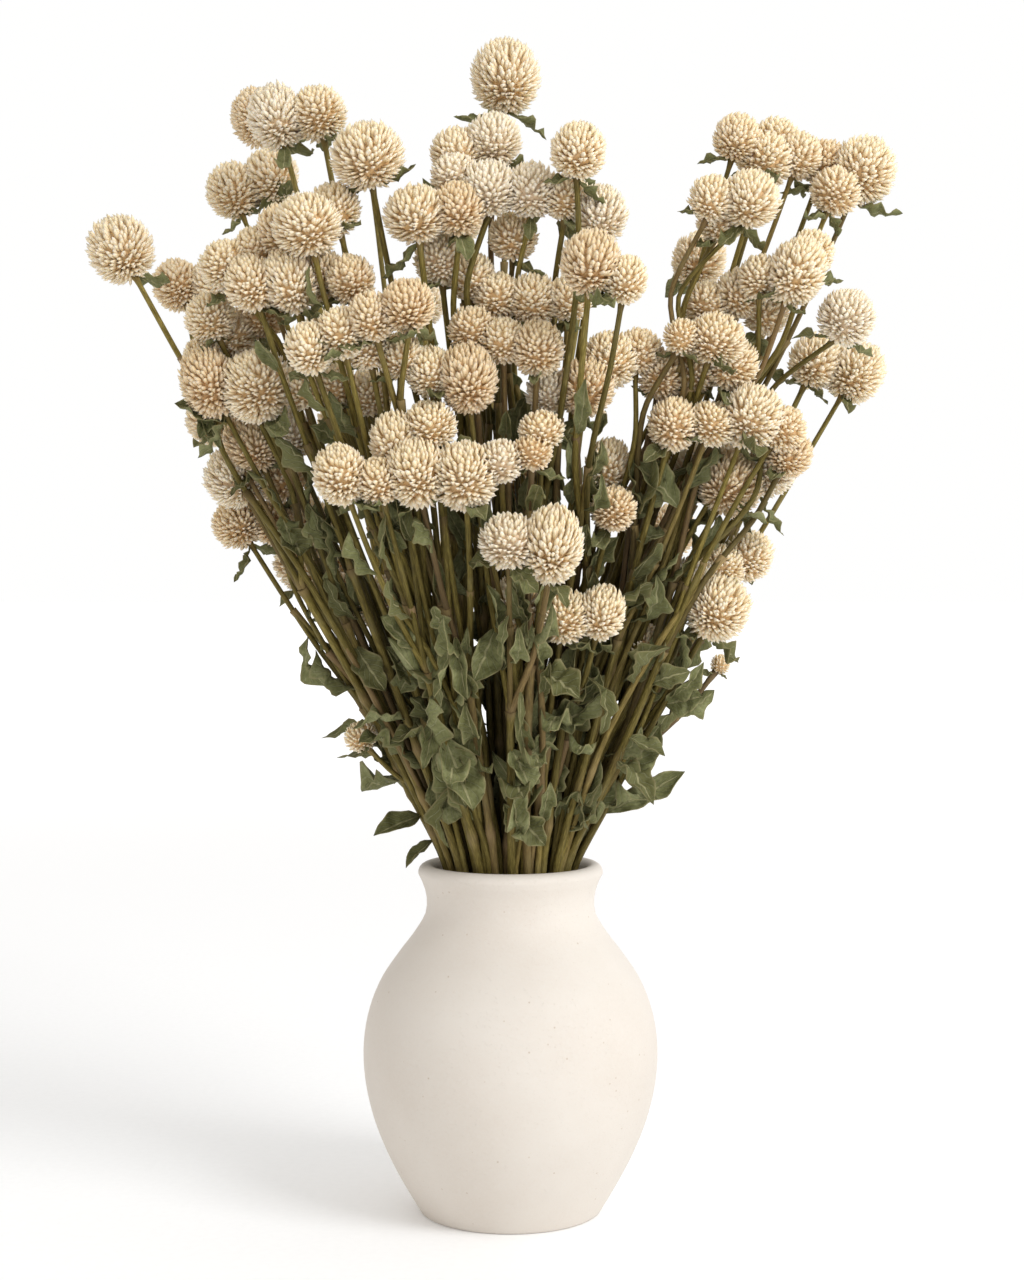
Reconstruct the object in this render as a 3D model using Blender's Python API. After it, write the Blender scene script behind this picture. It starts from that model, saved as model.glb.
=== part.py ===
"""Vase of dried globe amaranth: a turned stoneware vase that holds branching cut plants and their dry bloom heads.

The origin is the centre of the vase's flat foot, +Z is up and -Y is the side that is seen first.
Lengths are written in millimetres and turned into metres where a mesh is made.
"""

import math
import random

import bmesh
import bpy
import numpy as np

MM = 0.001

# The vase: radius and height of its profile, in millimetres
VASE_SIDES = 28
FOOT_RADIUS = 35.6
OUTER_PROFILE = (
    (36.9, 1.2), (42.7, 11.0), (50.2, 25.7), (55.5, 40.0), (58.4, 54.0), (59.0, 63.0),
    (57.1, 79.0), (52.0, 92.5), (45.0, 103.0), (37.6, 112.9), (34.0, 119.5), (33.5, 123.5), (34.9, 131.0),
)
LIP_CENTRE = (33.6, 135.9)
LIP_RADIUS = 3.4
INNER_PROFILE = (
    (29.5, 128.0), (30.2, 118.0), (38.5, 105.5), (50.0, 88.5), (55.0, 66.0), (49.5, 33.0), (33.0, 5.0),
)
VASE_FLOOR = 5.0

# The place that the blooms were measured from: they are listed as they look from there
EYE_ACROSS = 0.6
EYE_DISTANCE = 854.0
EYE_HEIGHT = 254.0

# Blooms: across and up on the plane through the vase's axis, width, height, layers behind the bouquet's front
LEFT_BLOOMS = (
    (-155, 384, 25, 26, 0.5), (-100, 436, 22, 25, 0.5), (-69, 438, 22, 21, 1.5), (-57, 421, 28, 26, 0.5),
    (-78, 393, 27, 25, 0), (-91, 390, 20, 22, 1), (-70, 401, 20, 20, 2), (-113, 379, 21, 20, 1),
    (-110, 369, 21, 23, 0), (-125, 358, 20, 20, 0), (-102, 383, 15, 16, 2), (-89, 371, 20, 26, 1),
    (-75, 375, 20, 21, 1), (-97, 360, 16, 20, 2), (-108, 349, 21, 20, 1), (-106, 330, 29, 29, 0),
    (-132, 328, 22, 28, 0), (-122, 341, 18, 20, 1), (-104, 309, 22, 24, 1), (-87, 312, 19, 22, 1),
    (-113, 292, 25, 25, 0), (-118, 275, 20, 19, 0), (-96, 278, 15, 17, 1), (-73, 351, 20, 21, 0),
    (-84, 343, 17, 20, 1), (-58, 344, 14, 16, 1), (-44, 344, 12, 11, 1), (-61, 331, 14, 11, 1),
    (-79, 329, 18, 17, 2), (-51, 326, 17, 16, 2), (-50, 311, 20, 25, 0), (-71, 295, 21, 24, 0),
    (-57, 290, 15, 16, 1), (-58, 372, 19, 20, 1), (-54, 360, 19, 20, 0), (-71, 258, 19, 17, 0),
    (-74, 246, 15, 17, 1), (-63, 249, 11, 12, 0.5), (-60, 190, 13, 12, 0),
)
MIDDLE_BLOOMS = (
    (-2, 452, 26, 29, 1.5), (-4, 428, 21, 21, 1.5), (-24, 423, 20, 19, 2), (-31, 410, 15, 16, 2),
    (-16, 410, 23, 22, 1), (-18, 398, 21, 22, 0), (10, 410, 21, 21, 1.5), (27, 423, 21, 22, 0.5),
    (31, 405, 17, 15, 2), (1, 389, 19, 19, 2), (43, 394, 21, 23, 1), (30, 380, 23, 26, 0.3),
    (48, 371, 17, 19, 0.5), (-45, 397, 26, 23, 0), (-26, 384, 20, 22, 1), (-15, 374, 16, 18, 3),
    (-36, 363, 22, 21, 0), (-19, 352, 15, 14, 2), (-33, 333, 19, 20, 1), (-12, 334, 23, 28, 0.3),
    (-2, 347, 17, 18, 2), (-7, 364, 12, 15, 3), (10, 364, 21, 21, 0.5), (14, 344, 21, 23, 0),
    (25, 365, 14, 14, 2), (40, 342, 23, 23, 0.3), (31, 328, 23, 24, 0), (58, 333, 19, 21, 1),
    (51, 344, 14, 14, 2), (57, 315, 21, 22, 0), (78, 315, 21, 18, 0), (-30, 315, 21, 20, 0.5),
    (-38, 293, 24, 28, 0), (-17, 290, 26, 27, 0), (-4, 301, 18, 17, 0.5), (-7, 269, 23, 21, 0),
    (-4, 246, 24, 24, 0), (13, 315, 18, 15, 0.5), (17, 303, 16, 14, 0), (14, 327, 16, 14, 2),
    (39, 298, 17, 22, 2), (23, 266, 23, 32, 0), (41, 281, 17, 15, 1), (25, 235, 23, 21, 0),
    (41, 240, 17, 22, 1), (54, 226, 14, 15, 1), (7, 290, 13, 14, 3),
)
RIGHT_BLOOMS = (
    (90, 428, 18, 19, 1), (105, 427, 18, 18, 2), (115, 421, 18, 18, 1), (101, 419, 22, 22, 0.5),
    (96, 404, 23, 23, 0), (80, 405, 17, 17, 1), (83, 395, 13, 12, 2), (141, 417, 25, 26, 0.5),
    (128, 405, 20, 19, 0.5), (125, 418, 16, 16, 1.5), (120, 385, 18, 18, 1), (115, 373, 22, 28, 0),
    (98, 374, 17, 16, 1), (134, 357, 22, 22, 0), (139, 335, 23, 25, 0.5), (90, 361, 20, 20, 1),
    (78, 362, 16, 17, 2), (83, 348, 24, 21, 0), (67, 349, 15, 15, 0.5), (103, 359, 13, 15, 2),
    (96, 340, 21, 22, 0.5), (101, 323, 24, 26, 0), (114, 319, 14, 16, 1), (110, 308, 13, 12, 1),
    (106, 294, 22, 24, 1), (87, 283, 26, 26, 0), (97, 265, 19, 20, 0.5), (86, 257, 14, 13, 1),
    (84, 240, 24, 26, 0), (69, 252, 11, 11, 1), (84, 219, 8, 8, 0), (72, 336, 14, 13, 1),
)
# Half width and half depth of the bouquet at a few heights, and the depth of a layer of blooms
FAN_HEIGHTS = (140, 200, 250, 300, 380, 420, 450, 475)
FAN_WIDTHS = (34, 72, 100, 135, 170, 158, 115, 50)
FAN_DEPTHS = (25, 48, 72, 98, 116, 100, 70, 30)
LAYER = 23.0

# Blooms that are partly hidden, blooms of the middle that gaps show, and blooms of the far side
HIDDEN_LEAST = 18.0
INNER_BLOOMS = 18
INNER_ACROSS = (-140, 145, 5)
INNER_UP = (240, 430, 5)
INNER_SIZE = (21.0, 22.0)
INNER_DEPTHS = (2.0, 26.0, 50.0)
INNER_ROOM = 9.0
OPEN_GAP = (50.0, 74.0, 340.0)
ENCLOSED_COLUMN = 18.0
ENCLOSED_ROW = 22.0
ENCLOSED_STEP = 8.0
FAR_BLOOMS = 12
FAR_SPACING = 36.0
FAR_LEAST_DEPTH = 50.0

# How blooms that touch are joined, as shares of the distance at which their outlines meet
BLOOM_NODES = 48
CLOSE = 0.74
CLOSEST = 0.68
BLOOM_GAP = 1.0
ROOT_HEIGHT = 90.0

# Stems, in millimetres
FOOT_HEIGHT = VASE_FLOOR + 0.3
FOOT_REACH = 26.0
FOOT_SPREAD = 1.1
RIM_HEIGHT = 141.0
RIM_REACH = 27.0
STEM_SPACING = 6.4
STEM_SIDES = 3
STEM_RADIUS = 1.7
TWIG_RADIUS = 1.25
JOINT_SWELL = 1.25
BLOOMS_A_STEM = 3
STEMS_A_PLANT = 5
FORK_SHARE = 0.55
LONG_TWIG = 60.0
BENDS = {False: (0.6,), True: (0.4, 0.78)}
SEAT_DEPTH = 0.80
SEAT_GAP = 0.3
STEM_GAP = 0.5
STEM_ROOM = 2.0

# Leaves, in millimetres
LEAF_SEED = 7
LEAF_THICKNESS = 1.3
LEAF_STATIONS = ((0.28, 0.85), (0.58, 1.0), (0.84, 0.55))
LEAF_ROOM = 1.9
LEAF_TO_LEAF = 3.5
LEAF_MOST = 32


def front_of_fan(across, up):
    """Depth of the bouquet's near side where it looks to be at (across, up)."""
    half = np.interp(up, FAN_HEIGHTS, FAN_WIDTHS)
    reach = np.interp(up, FAN_HEIGHTS, FAN_DEPTHS)
    return -reach * math.sqrt(max(0.0, 1 - (across / half) ** 2))


def world_of(seen, depth):
    """World centres of blooms that look to be at (across, up) from the eye."""
    nearer = (EYE_DISTANCE + depth) / EYE_DISTANCE
    across = EYE_ACROSS + (seen[:, 0] - EYE_ACROSS) * nearer
    up = EYE_HEIGHT + (seen[:, 1] - EYE_HEIGHT) * nearer
    return np.stack([across, depth, up], axis=1)


def far_side_of(rows):
    """Blooms of the far side, each straight behind a bloom of the near side, so the bouquet is full all round."""
    far = []
    for across, up, width, height, layers in rows:
        depth = -front_of_fan(across, up)
        spot = np.array([across, depth, up])
        apart = all(np.linalg.norm(spot - other[0]) > FAR_SPACING for other in far)
        if layers < 0.6 and depth > FAR_LEAST_DEPTH and apart and len(far) < FAR_BLOOMS:
            far.append((spot, width, height))
    return far


def is_enclosed(off):
    """Whether blooms at these offsets (across, up) lie to the left, to the right, above and below."""
    in_column, in_row = np.abs(off[:, 0]) < ENCLOSED_COLUMN, np.abs(off[:, 1]) < ENCLOSED_ROW
    sides = (off[in_column, 1], off[in_row, 0])
    return all((side > ENCLOSED_STEP).any() and (side < -ENCLOSED_STEP).any() for side in sides)


def inner_spots(rows):
    """Places in the bouquet's middle that the near blooms leave open to the eye, the widest gap first."""
    taken = np.array([(row[0], row[1]) for row in rows], float)
    spots, open_spots = [], []
    for across in range(*INNER_ACROSS):
        for up in range(*INNER_UP):
            in_gap = OPEN_GAP[0] < across < OPEN_GAP[1] and up > OPEN_GAP[2]
            if is_enclosed(taken - (across, up)) and not in_gap:
                open_spots.append((across, up))
    open_spots = np.array(open_spots, float)
    while len(spots) < INNER_BLOOMS:
        room = np.linalg.norm(open_spots[:, None] - taken[None], axis=2).min(axis=1)
        if room.max() < INNER_ROOM:
            break
        spots.append(open_spots[room.argmax()])
        taken = np.vstack([taken, spots[-1]])
    return spots


def listed_blooms():
    """Seen places, depths and half sizes of all the blooms, as first laid out."""
    rows = LEFT_BLOOMS + MIDDLE_BLOOMS + RIGHT_BLOOMS
    far = far_side_of(rows)
    inner = inner_spots(rows)
    seen = [(row[0], row[1]) for row in rows] + [(spot[0], spot[2]) for spot, _, _ in far] + inner
    depth = [front_of_fan(row[0], row[1]) + LAYER * row[4] for row in rows] + [spot[1] for spot, _, _ in far]
    depth += [INNER_DEPTHS[place % 3] for place in range(len(inner))]
    size = [[max(side, HIDDEN_LEAST) if row[4] >= 1 else side for side in row[2:4]] for row in rows]
    size += [(width, height) for _, width, height in far] + [INNER_SIZE] * len(inner)
    seen, depth, size = np.array(seen, float), np.array(depth), np.array(size, float)
    nearer = np.minimum((EYE_DISTANCE + depth) / EYE_DISTANCE, 1)
    return seen, depth, size / 2 * nearer[:, None]


def axes_of(centres):
    """Each bloom points away from a spot low in the vase."""
    away = centres - np.array([0.0, 0.0, ROOT_HEIGHT])
    return away / np.linalg.norm(away, axis=1)[:, None]


def reach_along(half, axes, direction):
    """How far a bloom reaches from its centre in a direction."""
    along = (axes * direction).sum(axis=-1) ** 2
    return 1 / np.sqrt((1 - along) / half[..., 0] ** 2 + along / half[..., 1] ** 2)


def pair_sizes(centres, half):
    """For each pair of blooms: distance, direction and the distance at which their outlines would meet."""
    apart = centres[None, :] - centres[:, None]
    distance = np.linalg.norm(apart, axis=2) + np.eye(len(centres))
    direction = apart / distance[..., None]
    axes = axes_of(centres)
    reach = reach_along(half[:, None], axes[:, None], direction)
    return distance, direction, reach + reach_along(half[None, :], axes[None, :], direction)


def join_neighbours(centres, seen, half, most=9):
    """Cluster number of each bloom, and which pairs touch: those that take the least moving come first."""
    distance, _, reach = pair_sizes(centres, half)
    offset = np.abs(seen[None, :] - seen[:, None])
    sideways = np.maximum(np.linalg.norm(offset, axis=2) / reach - 0.66, 0)
    stacked = np.maximum(offset[..., 1] / reach - 0.36, 0)
    effort = 6 * sideways + 12 * stacked + 2 * np.maximum(distance / reach - CLOSE, 0)
    rows, columns = np.triu_indices(len(centres), 1)
    cluster = np.arange(len(centres))
    linked = np.zeros((len(centres), len(centres)), bool)
    for index in np.argsort(effort[rows, columns], kind="stable"):
        a, b = rows[index], columns[index]
        both = (cluster == cluster[a]) | (cluster == cluster[b])
        if cluster[a] == cluster[b] or both.sum() > most:
            continue
        cluster[both] = cluster[a]
        linked[a, b] = linked[b, a] = True
        if len(np.unique(cluster)) == BLOOM_NODES:
            break
    return cluster, linked


def shoves_off_stems(centres, axes, half, depths):
    """How far the foot of each bloom's stem, at some depths below it, lies inside each other bloom, and which way."""
    for below in depths:
        spot = centres - axes * (half[:, 1] * SEAT_DEPTH + below)[:, None]
        away = spot[:, None] - centres[None, :]
        far_off = np.linalg.norm(away, axis=2)
        away = away / far_off[..., None]
        inside = np.maximum(reach_along(half[None, :], axes[None, :], away) + STEM_ROOM - far_off, 0)
        np.fill_diagonal(inside, 0)
        yield below, inside[..., None] * away


def settle_blooms(seen, depth, half, steps=700):
    """Moves blooms, mostly in depth, until those of a cluster touch and all others are clear."""
    cluster, linked = join_neighbours(world_of(seen, depth), seen, half)
    same = cluster[:, None] == cluster[None, :]
    start = seen.copy()
    for step in range(steps):
        late = step > 0.6 * steps
        ease = np.array([0.5, 1.0, 0.5]) if late else np.array([0.16, 1.0, 0.16])
        centres = world_of(seen, depth)
        distance, direction, reach = pair_sizes(centres, half)
        short = np.where(same, 0, np.maximum(reach + BLOOM_GAP - distance, 0))
        slack = np.where(linked, np.maximum(distance - CLOSE * reach, 0), 0) * (6 if late else 2)
        tight = np.where(same, np.maximum(CLOSEST * reach - distance, 0), 0)
        np.fill_diagonal(tight, 0)
        push = (short + tight - slack)[..., None] * direction
        side = np.where(direction[..., 1] >= 0, 0.5, -0.5)
        push[..., 1] += np.where(np.abs(direction[..., 1]) < 0.25, short * side, 0)
        push = push.sum(axis=0)
        for _, shove in shoves_off_stems(centres, axes_of(centres), half, (0.0, 5.0, 10.0, 16.0)):
            push = push + 0.5 * (shove.sum(axis=1) - shove.sum(axis=0))
        move = np.clip(0.35 * push * ease, -2.5, 2.5)
        depth = depth + move[:, 1]
        seen = seen + move[:, [0, 2]] + 0.02 * (start - seen)
    return world_of(seen, depth), cluster


def turn_from_neighbours(centres, half, steps=120):
    """Axes of the blooms, turned so that the stem below each is clear of the other blooms."""
    usual = axes_of(centres)
    axes = usual.copy()
    for _ in range(steps):
        turn = 0.03 * (usual - axes)
        for below, shove in shoves_off_stems(centres, axes, half, (0.0, 4.0, 8.0, 13.0, 18.0)):
            turn = turn - 0.3 * shove.sum(axis=1) / (half[:, 1] + below)[:, None]
        axes = axes + turn
        axes = axes / np.linalg.norm(axes, axis=1)[:, None]
    return axes


def share_out(spots, size):
    """Groups of near neighbours, each begun at the free spot that is furthest out."""
    free = set(range(len(spots)))
    groups = []
    while free:
        first = max(free, key=lambda i: np.hypot(spots[i][0], spots[i][1]))
        near = sorted(free, key=lambda i: np.linalg.norm(spots[i] - spots[first]))
        groups.append(near[:size])
        free -= set(near[:size])
    return groups


def spread_in_neck(spots):
    """Moves the stems' places in the neck apart until each has its room."""
    for _ in range(400):
        apart = spots[None, :] - spots[:, None]
        distance = np.linalg.norm(apart, axis=2) + np.eye(len(spots)) * 99
        push = np.maximum(STEM_SPACING - distance, 0)[..., None] * apart / np.maximum(distance, 0.01)[..., None]
        spots = spots + 0.3 * push.sum(axis=0)
        spots = spots / np.maximum(np.linalg.norm(spots, axis=1) / RIM_REACH, 1)[:, None]
    return spots


def between(start, end, share):
    return start + (end - start) * share


class Routes:
    """The stems' points and the straight runs between them: point, point, radius, plant, bloom at its end or -1."""

    def __init__(self):
        self.points = []
        self.still = []
        self.runs = []
        self.stems = []
        self.twigs = []

    def add(self, point, still=False):
        self.points.append(np.array(point, float))
        self.still.append(still)
        return len(self.points) - 1

    def link(self, route, radius, plant, bloom=-1):
        for a, b in zip(route, route[1:]):
            self.runs.append((a, b, radius, plant, bloom if b == route[-1] else -1))


def add_stem(routes, plant, foot, rim, fork):
    """One cut stem from the vase's floor, through the belly and the neck, to its fork."""
    route = [foot, routes.add(rim), routes.add(between(rim, fork, 0.5)), routes.add(fork)]
    routes.link(route, STEM_RADIUS, plant)
    routes.stems.append((plant, route))
    return route[-1]


def add_twig(routes, plant, fork_index, bloom, base, axis):
    """One twig from a fork to the seat of its bloom, arriving along the bloom's axis."""
    fork = routes.points[fork_index]
    length = np.linalg.norm(base - fork)
    route = [fork_index]
    for share in BENDS[bool(length > LONG_TWIG)]:
        on_axis = base - axis * (1 - share) * length
        route.append(routes.add(between(between(fork, base, share), on_axis, 0.5 * share + 0.2)))
    route.append(routes.add(base, still=True))
    routes.link(route, TWIG_RADIUS, plant, bloom)
    routes.twigs.append((plant, route, bloom))


def route_stems(centres, half, axes):
    """First routes: near blooms share a stem, and stems near in the neck share a plant."""
    bases = centres - axes * (half[:, 1] * SEAT_DEPTH + SEAT_GAP)[:, None]
    groups = share_out(bases * np.array([1, 1, 0.6]), BLOOMS_A_STEM)
    middles = np.array([bases[group].mean(axis=0) for group in groups])
    lean = middles[:, :2] / (middles[:, 2] - ROOT_HEIGHT)[:, None]
    size = np.linalg.norm(lean, axis=1)[:, None]
    rims = spread_in_neck(lean / size * RIM_REACH * (size / size.max()) ** 0.8)
    routes = Routes()
    for plant, stems in enumerate(share_out(rims, STEMS_A_PLANT)):
        spot = rims[stems].mean(axis=0)
        spot = spot * min(1.0, FOOT_REACH / np.linalg.norm(spot)) * 1.05
        foot = routes.add([*spot, FOOT_HEIGHT], still=True)
        for stem in stems:
            rim = np.array([*rims[stem], RIM_HEIGHT])
            lowest = bases[groups[stem]][:, 2].min()
            share = FORK_SHARE * (lowest - RIM_HEIGHT) / (middles[stem][2] - RIM_HEIGHT)
            fork = add_stem(routes, plant, foot, rim, between(rim, middles[stem], share))
            for bloom in groups[stem]:
                add_twig(routes, plant, fork, bloom, bases[bloom], axes[bloom])
    return routes


def nearest_on_runs(a, b, c, d):
    """Places along runs a-b and c-d, from 0 to 1, where they come nearest."""
    u, v, w = b - a, d - c, a - c
    uu, uv, vv = (u * u).sum(-1), (u * v).sum(-1), (v * v).sum(-1)
    uw, vw = (u * w).sum(-1), (v * w).sum(-1)
    s = np.clip((uv * vw - vv * uw) / np.maximum(uu * vv - uv * uv, 1e-6), 0, 1)
    t = np.clip((uv * s + vw) / np.maximum(vv, 1e-6), 0, 1)
    s = np.clip((uv * t - uw) / np.maximum(uu, 1e-6), 0, 1)
    return s, t


def part_crossing_runs(move, points, a, b, rows, columns, need):
    """Adds the moves that part runs where they come too near."""
    middle, reach = (points[a] + points[b]) / 2, np.linalg.norm(points[b] - points[a], axis=1) / 2
    close = np.linalg.norm(middle[rows] - middle[columns], axis=1) < reach[rows] + reach[columns] + need
    rows, columns, need = rows[close], columns[close], need[close]
    s, t = nearest_on_runs(points[a[rows]], points[b[rows]], points[a[columns]], points[b[columns]])
    near = between(points[a[rows]], points[b[rows]], s[:, None])
    gap = between(points[a[columns]], points[b[columns]], t[:, None]) - near
    distance = np.maximum(np.linalg.norm(gap, axis=1), 1e-6)
    hit = distance < need
    push = (gap / distance[:, None] * (need - distance)[:, None] * 0.5)[hit]
    sides = ((a[rows], s - 1), (b[rows], -s), (a[columns], 1 - t), (b[columns], t))
    for index, weight in sides:
        np.add.at(move, index[hit], push * weight[hit][:, None])


def part_runs_from_blooms(move, points, a, b, radius, other, centres, half, axes):
    """Adds the moves that take runs out of the blooms that they pass."""
    along = points[b] - points[a]
    to = centres[None, :] - points[a][:, None]
    share = np.clip((to * along[:, None]).sum(-1) / np.maximum((along * along).sum(-1), 1e-6)[:, None], 0, 1)
    away = points[a][:, None] + along[:, None] * share[..., None] - centres[None, :]
    far_off = np.maximum(np.linalg.norm(away, axis=2), 1e-6)
    away = away / far_off[..., None]
    room = reach_along(half[None, :], axes[None, :], away) + radius[:, None] + STEM_GAP
    inside = np.where(other, np.maximum(room - far_off, 0), 0)
    shove = away * inside[..., None]
    np.add.at(move, a, (shove * (1 - share)[..., None]).sum(axis=1))
    np.add.at(move, b, (shove * share[..., None]).sum(axis=1))
    caught = (inside > 0).sum(axis=1) > 1
    side = np.sign((away[..., 1] * inside).sum(axis=1) + 1e-9)
    escape = np.where(caught, 0.4 * inside.max(axis=1) * side, 0)
    move[:, 1] += np.bincount(a, escape, len(points)) + np.bincount(b, escape, len(points))


def clear_stems(routes, centres, half, axes, steps=200):
    """Bends the stems until they are clear of each other, of the blooms and of the vase's neck."""
    start = np.array(routes.points)
    points = start.copy()
    a, b, radius, own = (np.array([run[i] for run in routes.runs]) for i in (0, 1, 2, 4))
    rows, columns = np.triu_indices(len(a), 1)
    joined = (a[rows] == a[columns]) | (b[rows] == a[columns]) | (a[rows] == b[columns])
    rows, columns = rows[~joined], columns[~joined]
    need = radius[rows] + radius[columns] + STEM_GAP
    other = own[:, None] != np.arange(len(centres))[None, :]
    free = (~np.array(routes.still))[:, None]
    rims = np.isclose(start[:, 2], RIM_HEIGHT)
    for step in range(steps):
        move = np.zeros_like(points)
        part_crossing_runs(move, points, a, b, rows, columns, need)
        part_runs_from_blooms(move, points, a, b, radius, other, centres, half, axes)
        pull = 0.01 * (start - points) if step < steps * 0.7 else 0
        points = points + (0.7 * np.clip(move, -3, 3) + pull) * free
        points[rims, 2] = RIM_HEIGHT
        out = np.linalg.norm(points[rims, :2], axis=1) / RIM_REACH
        points[rims, :2] /= np.maximum(out, 1)[:, None]
    routes.points = list(points)


def leaf_frame(direction, droop):
    """Direction, sideways and upward unit vectors of a leaf that leaves a stem."""
    forward = np.array([direction[0], direction[1], direction[2] - droop])
    forward = forward / np.linalg.norm(forward)
    sideways = np.cross(forward, [0.0, 0.0, 1.0])
    sideways = sideways / max(np.linalg.norm(sideways), 1e-6)
    return forward, sideways, np.cross(sideways, forward)


def leaf_points(root, direction, length, width, droop, wave):
    """Rib points and left and right edge points of a leaf, which bends down towards its tip."""
    forward, sideways, upward = leaf_frame(direction, droop)
    rib, left, right = [root], [], []
    for place, (share, spread) in enumerate(LEAF_STATIONS):
        spot = root + forward * length * share - np.array([0, 0, 1]) * length * 0.35 * share**2
        lift = upward * width * 0.5 * spread * (0.45 + (wave if place % 2 else -wave))
        rib.append(spot)
        left.append(spot + sideways * width * 0.5 * spread + lift)
        right.append(spot - sideways * width * 0.5 * spread + lift * 0.7)
    rib.append(root + forward * length - np.array([0, 0, 1]) * length * 0.35)
    return np.array(rib), np.array(left), np.array(right)


def leaf_samples(rib, left, right):
    """Points spread over a leaf, to measure how clear it is."""
    samples = [between(rib[i], rib[i + 1], share) for i in range(4) for share in (0.25, 0.5, 0.75, 1)]
    for edge in (left, right):
        whole = [rib[0], *edge, rib[-1]]
        samples += [between(whole[i], whole[i + 1], share) for i in range(4) for share in (0.25, 0.5, 0.75, 1)]
        samples += [between(rib[i + 1], edge[i], 0.5) for i in range(3)]
    return np.array(samples[1:])


def leaf_is_clear(samples, joint, routes, centres, half, axes, taken):
    """Whether a leaf's points are clear of all runs but those at its own joint, of blooms, leaves and the vase."""
    near_vase = (samples[:, 2] < RIM_HEIGHT + 3) & (np.hypot(samples[:, 0], samples[:, 1]) > RIM_REACH - 2)
    if near_vase.any():
        return False
    away = samples[:, None] - centres[None, :]
    far_off = np.linalg.norm(away, axis=2)
    bloom_gap = far_off - reach_along(half[None, :], axes[None, :], away / far_off[..., None])
    if bloom_gap.min() <= LEAF_THICKNESS:
        return False
    if taken:
        leaf_gap = np.linalg.norm(samples[:, None] - np.concatenate(taken)[None, :], axis=2)
        if leaf_gap.min() <= LEAF_TO_LEAF:
            return False
    points = np.array(routes.points)
    keep = [run for run in routes.runs if joint not in run[:2]]
    a, b = points[[run[0] for run in keep]], points[[run[1] for run in keep]]
    along = b - a
    to = samples[:, None] - a[None, :]
    share = np.clip((to * along[None]).sum(-1) / (along * along).sum(-1)[None], 0, 1)
    gap = np.linalg.norm(to - along[None] * share[..., None], axis=2) - np.array([run[2] for run in keep])
    return gap.min() > LEAF_ROOM


def place_leaves(routes, centres, half, axes):
    """Opposite leaves at the stems' joints, larger low down, each where it is clear."""
    chance = random.Random(LEAF_SEED)
    leaves, taken = [], []
    spots = [(plant, route[place]) for place in (2, 3) for plant, route in routes.stems]
    spots += [(plant, route[1]) for plant, route, _ in routes.twigs if len(route) > 3]
    for plant, index in spots:
        root = routes.points[index]
        turn = chance.uniform(0, 2 * math.pi)
        for half_turn in (0, math.pi):
            for attempt in range(10 if len(leaves) < LEAF_MOST else 0):
                angle = turn + half_turn + attempt * 0.63
                low = min(max((330 - root[2]) / 160, 0), 1)
                length = (18 + 18 * low) * chance.uniform(0.8, 1.15) * (1 - 0.05 * attempt)
                width = length * chance.uniform(0.34, 0.46)
                direction = np.array([math.cos(angle), math.sin(angle), chance.uniform(0.2, 0.9)])
                shape = leaf_points(root, direction, length, width, chance.uniform(0, 0.5), 0.4)
                samples = leaf_samples(*shape)
                if leaf_is_clear(samples[3:], index, routes, centres, half, axes, taken):
                    leaves.append((plant, shape))
                    taken.append(samples[2:])
                    break
    return leaves


def clear_scene():
    for obj in list(bpy.data.objects):
        bpy.data.objects.remove(obj, do_unlink=True)


def material(name, colour, roughness):
    made = bpy.data.materials.new(name)
    made.use_nodes = True
    shader = made.node_tree.nodes["Principled BSDF"]
    shader.inputs["Base Color"].default_value = (*colour, 1)
    shader.inputs["Roughness"].default_value = roughness
    shader.inputs["Metallic"].default_value = 0
    return made


def mesh_object(name, points, faces, look):
    """An object from points in millimetres."""
    mesh = bpy.data.meshes.new(name)
    mesh.from_pydata([tuple(np.array(point) * MM) for point in points], [], faces)
    mesh.materials.append(look)
    mesh.update()
    made = bpy.data.objects.new(name, mesh)
    bpy.context.scene.collection.objects.link(made)
    return made


def turned_shape(profile, sides):
    """Points and faces of a profile of (radius, height), turned about the Z axis; a radius of 0 is a pole."""
    points, rings, faces = [], [], []
    for radius, height in profile:
        count = sides if radius > 0 else 1
        rings.append(range(len(points), len(points) + count))
        for i in range(count):
            angle = 2 * math.pi * i / sides
            points.append((radius * math.cos(angle), radius * math.sin(angle), height))
    for low, high in zip(rings, rings[1:]):
        for i in range(sides):
            j = (i + 1) % sides
            corners = [low[i % len(low)], low[j % len(low)], high[j % len(high)], high[i % len(high)]]
            faces.append(list(dict.fromkeys(corners)))
    return points, faces


def vase_profile():
    """The vase's section: from the middle of its foot up the outside, over the lip and down the inside."""
    lip = []
    for degrees in (-10, 40, 90, 140, 190):
        angle = math.radians(degrees)
        lip.append((LIP_CENTRE[0] + LIP_RADIUS * math.cos(angle), LIP_CENTRE[1] + LIP_RADIUS * math.sin(angle)))
    return [(0, 0), (FOOT_RADIUS, 0), *OUTER_PROFILE, *lip, *INNER_PROFILE, (0, VASE_FLOOR)]


def make_vase():
    points, faces = turned_shape(vase_profile(), VASE_SIDES)
    look = material("matte speckled stoneware", (0.80, 0.74, 0.66), 0.75)
    vase = mesh_object("vase", points, faces, look)
    vase.data.shade_smooth()
    vase.data.set_sharp_from_angle(angle=math.radians(50))
    return vase


def upright_frame(axis):
    """Two unit vectors square to an axis, and the axis."""
    axis = np.array(axis) / np.linalg.norm(axis)
    side = np.cross([0.0, 1.0, 0.0], axis)
    if np.linalg.norm(side) < 0.1:
        side = np.cross([1.0, 0.0, 0.0], axis)
    side = side / np.linalg.norm(side)
    return side, np.cross(axis, side), axis


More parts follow.
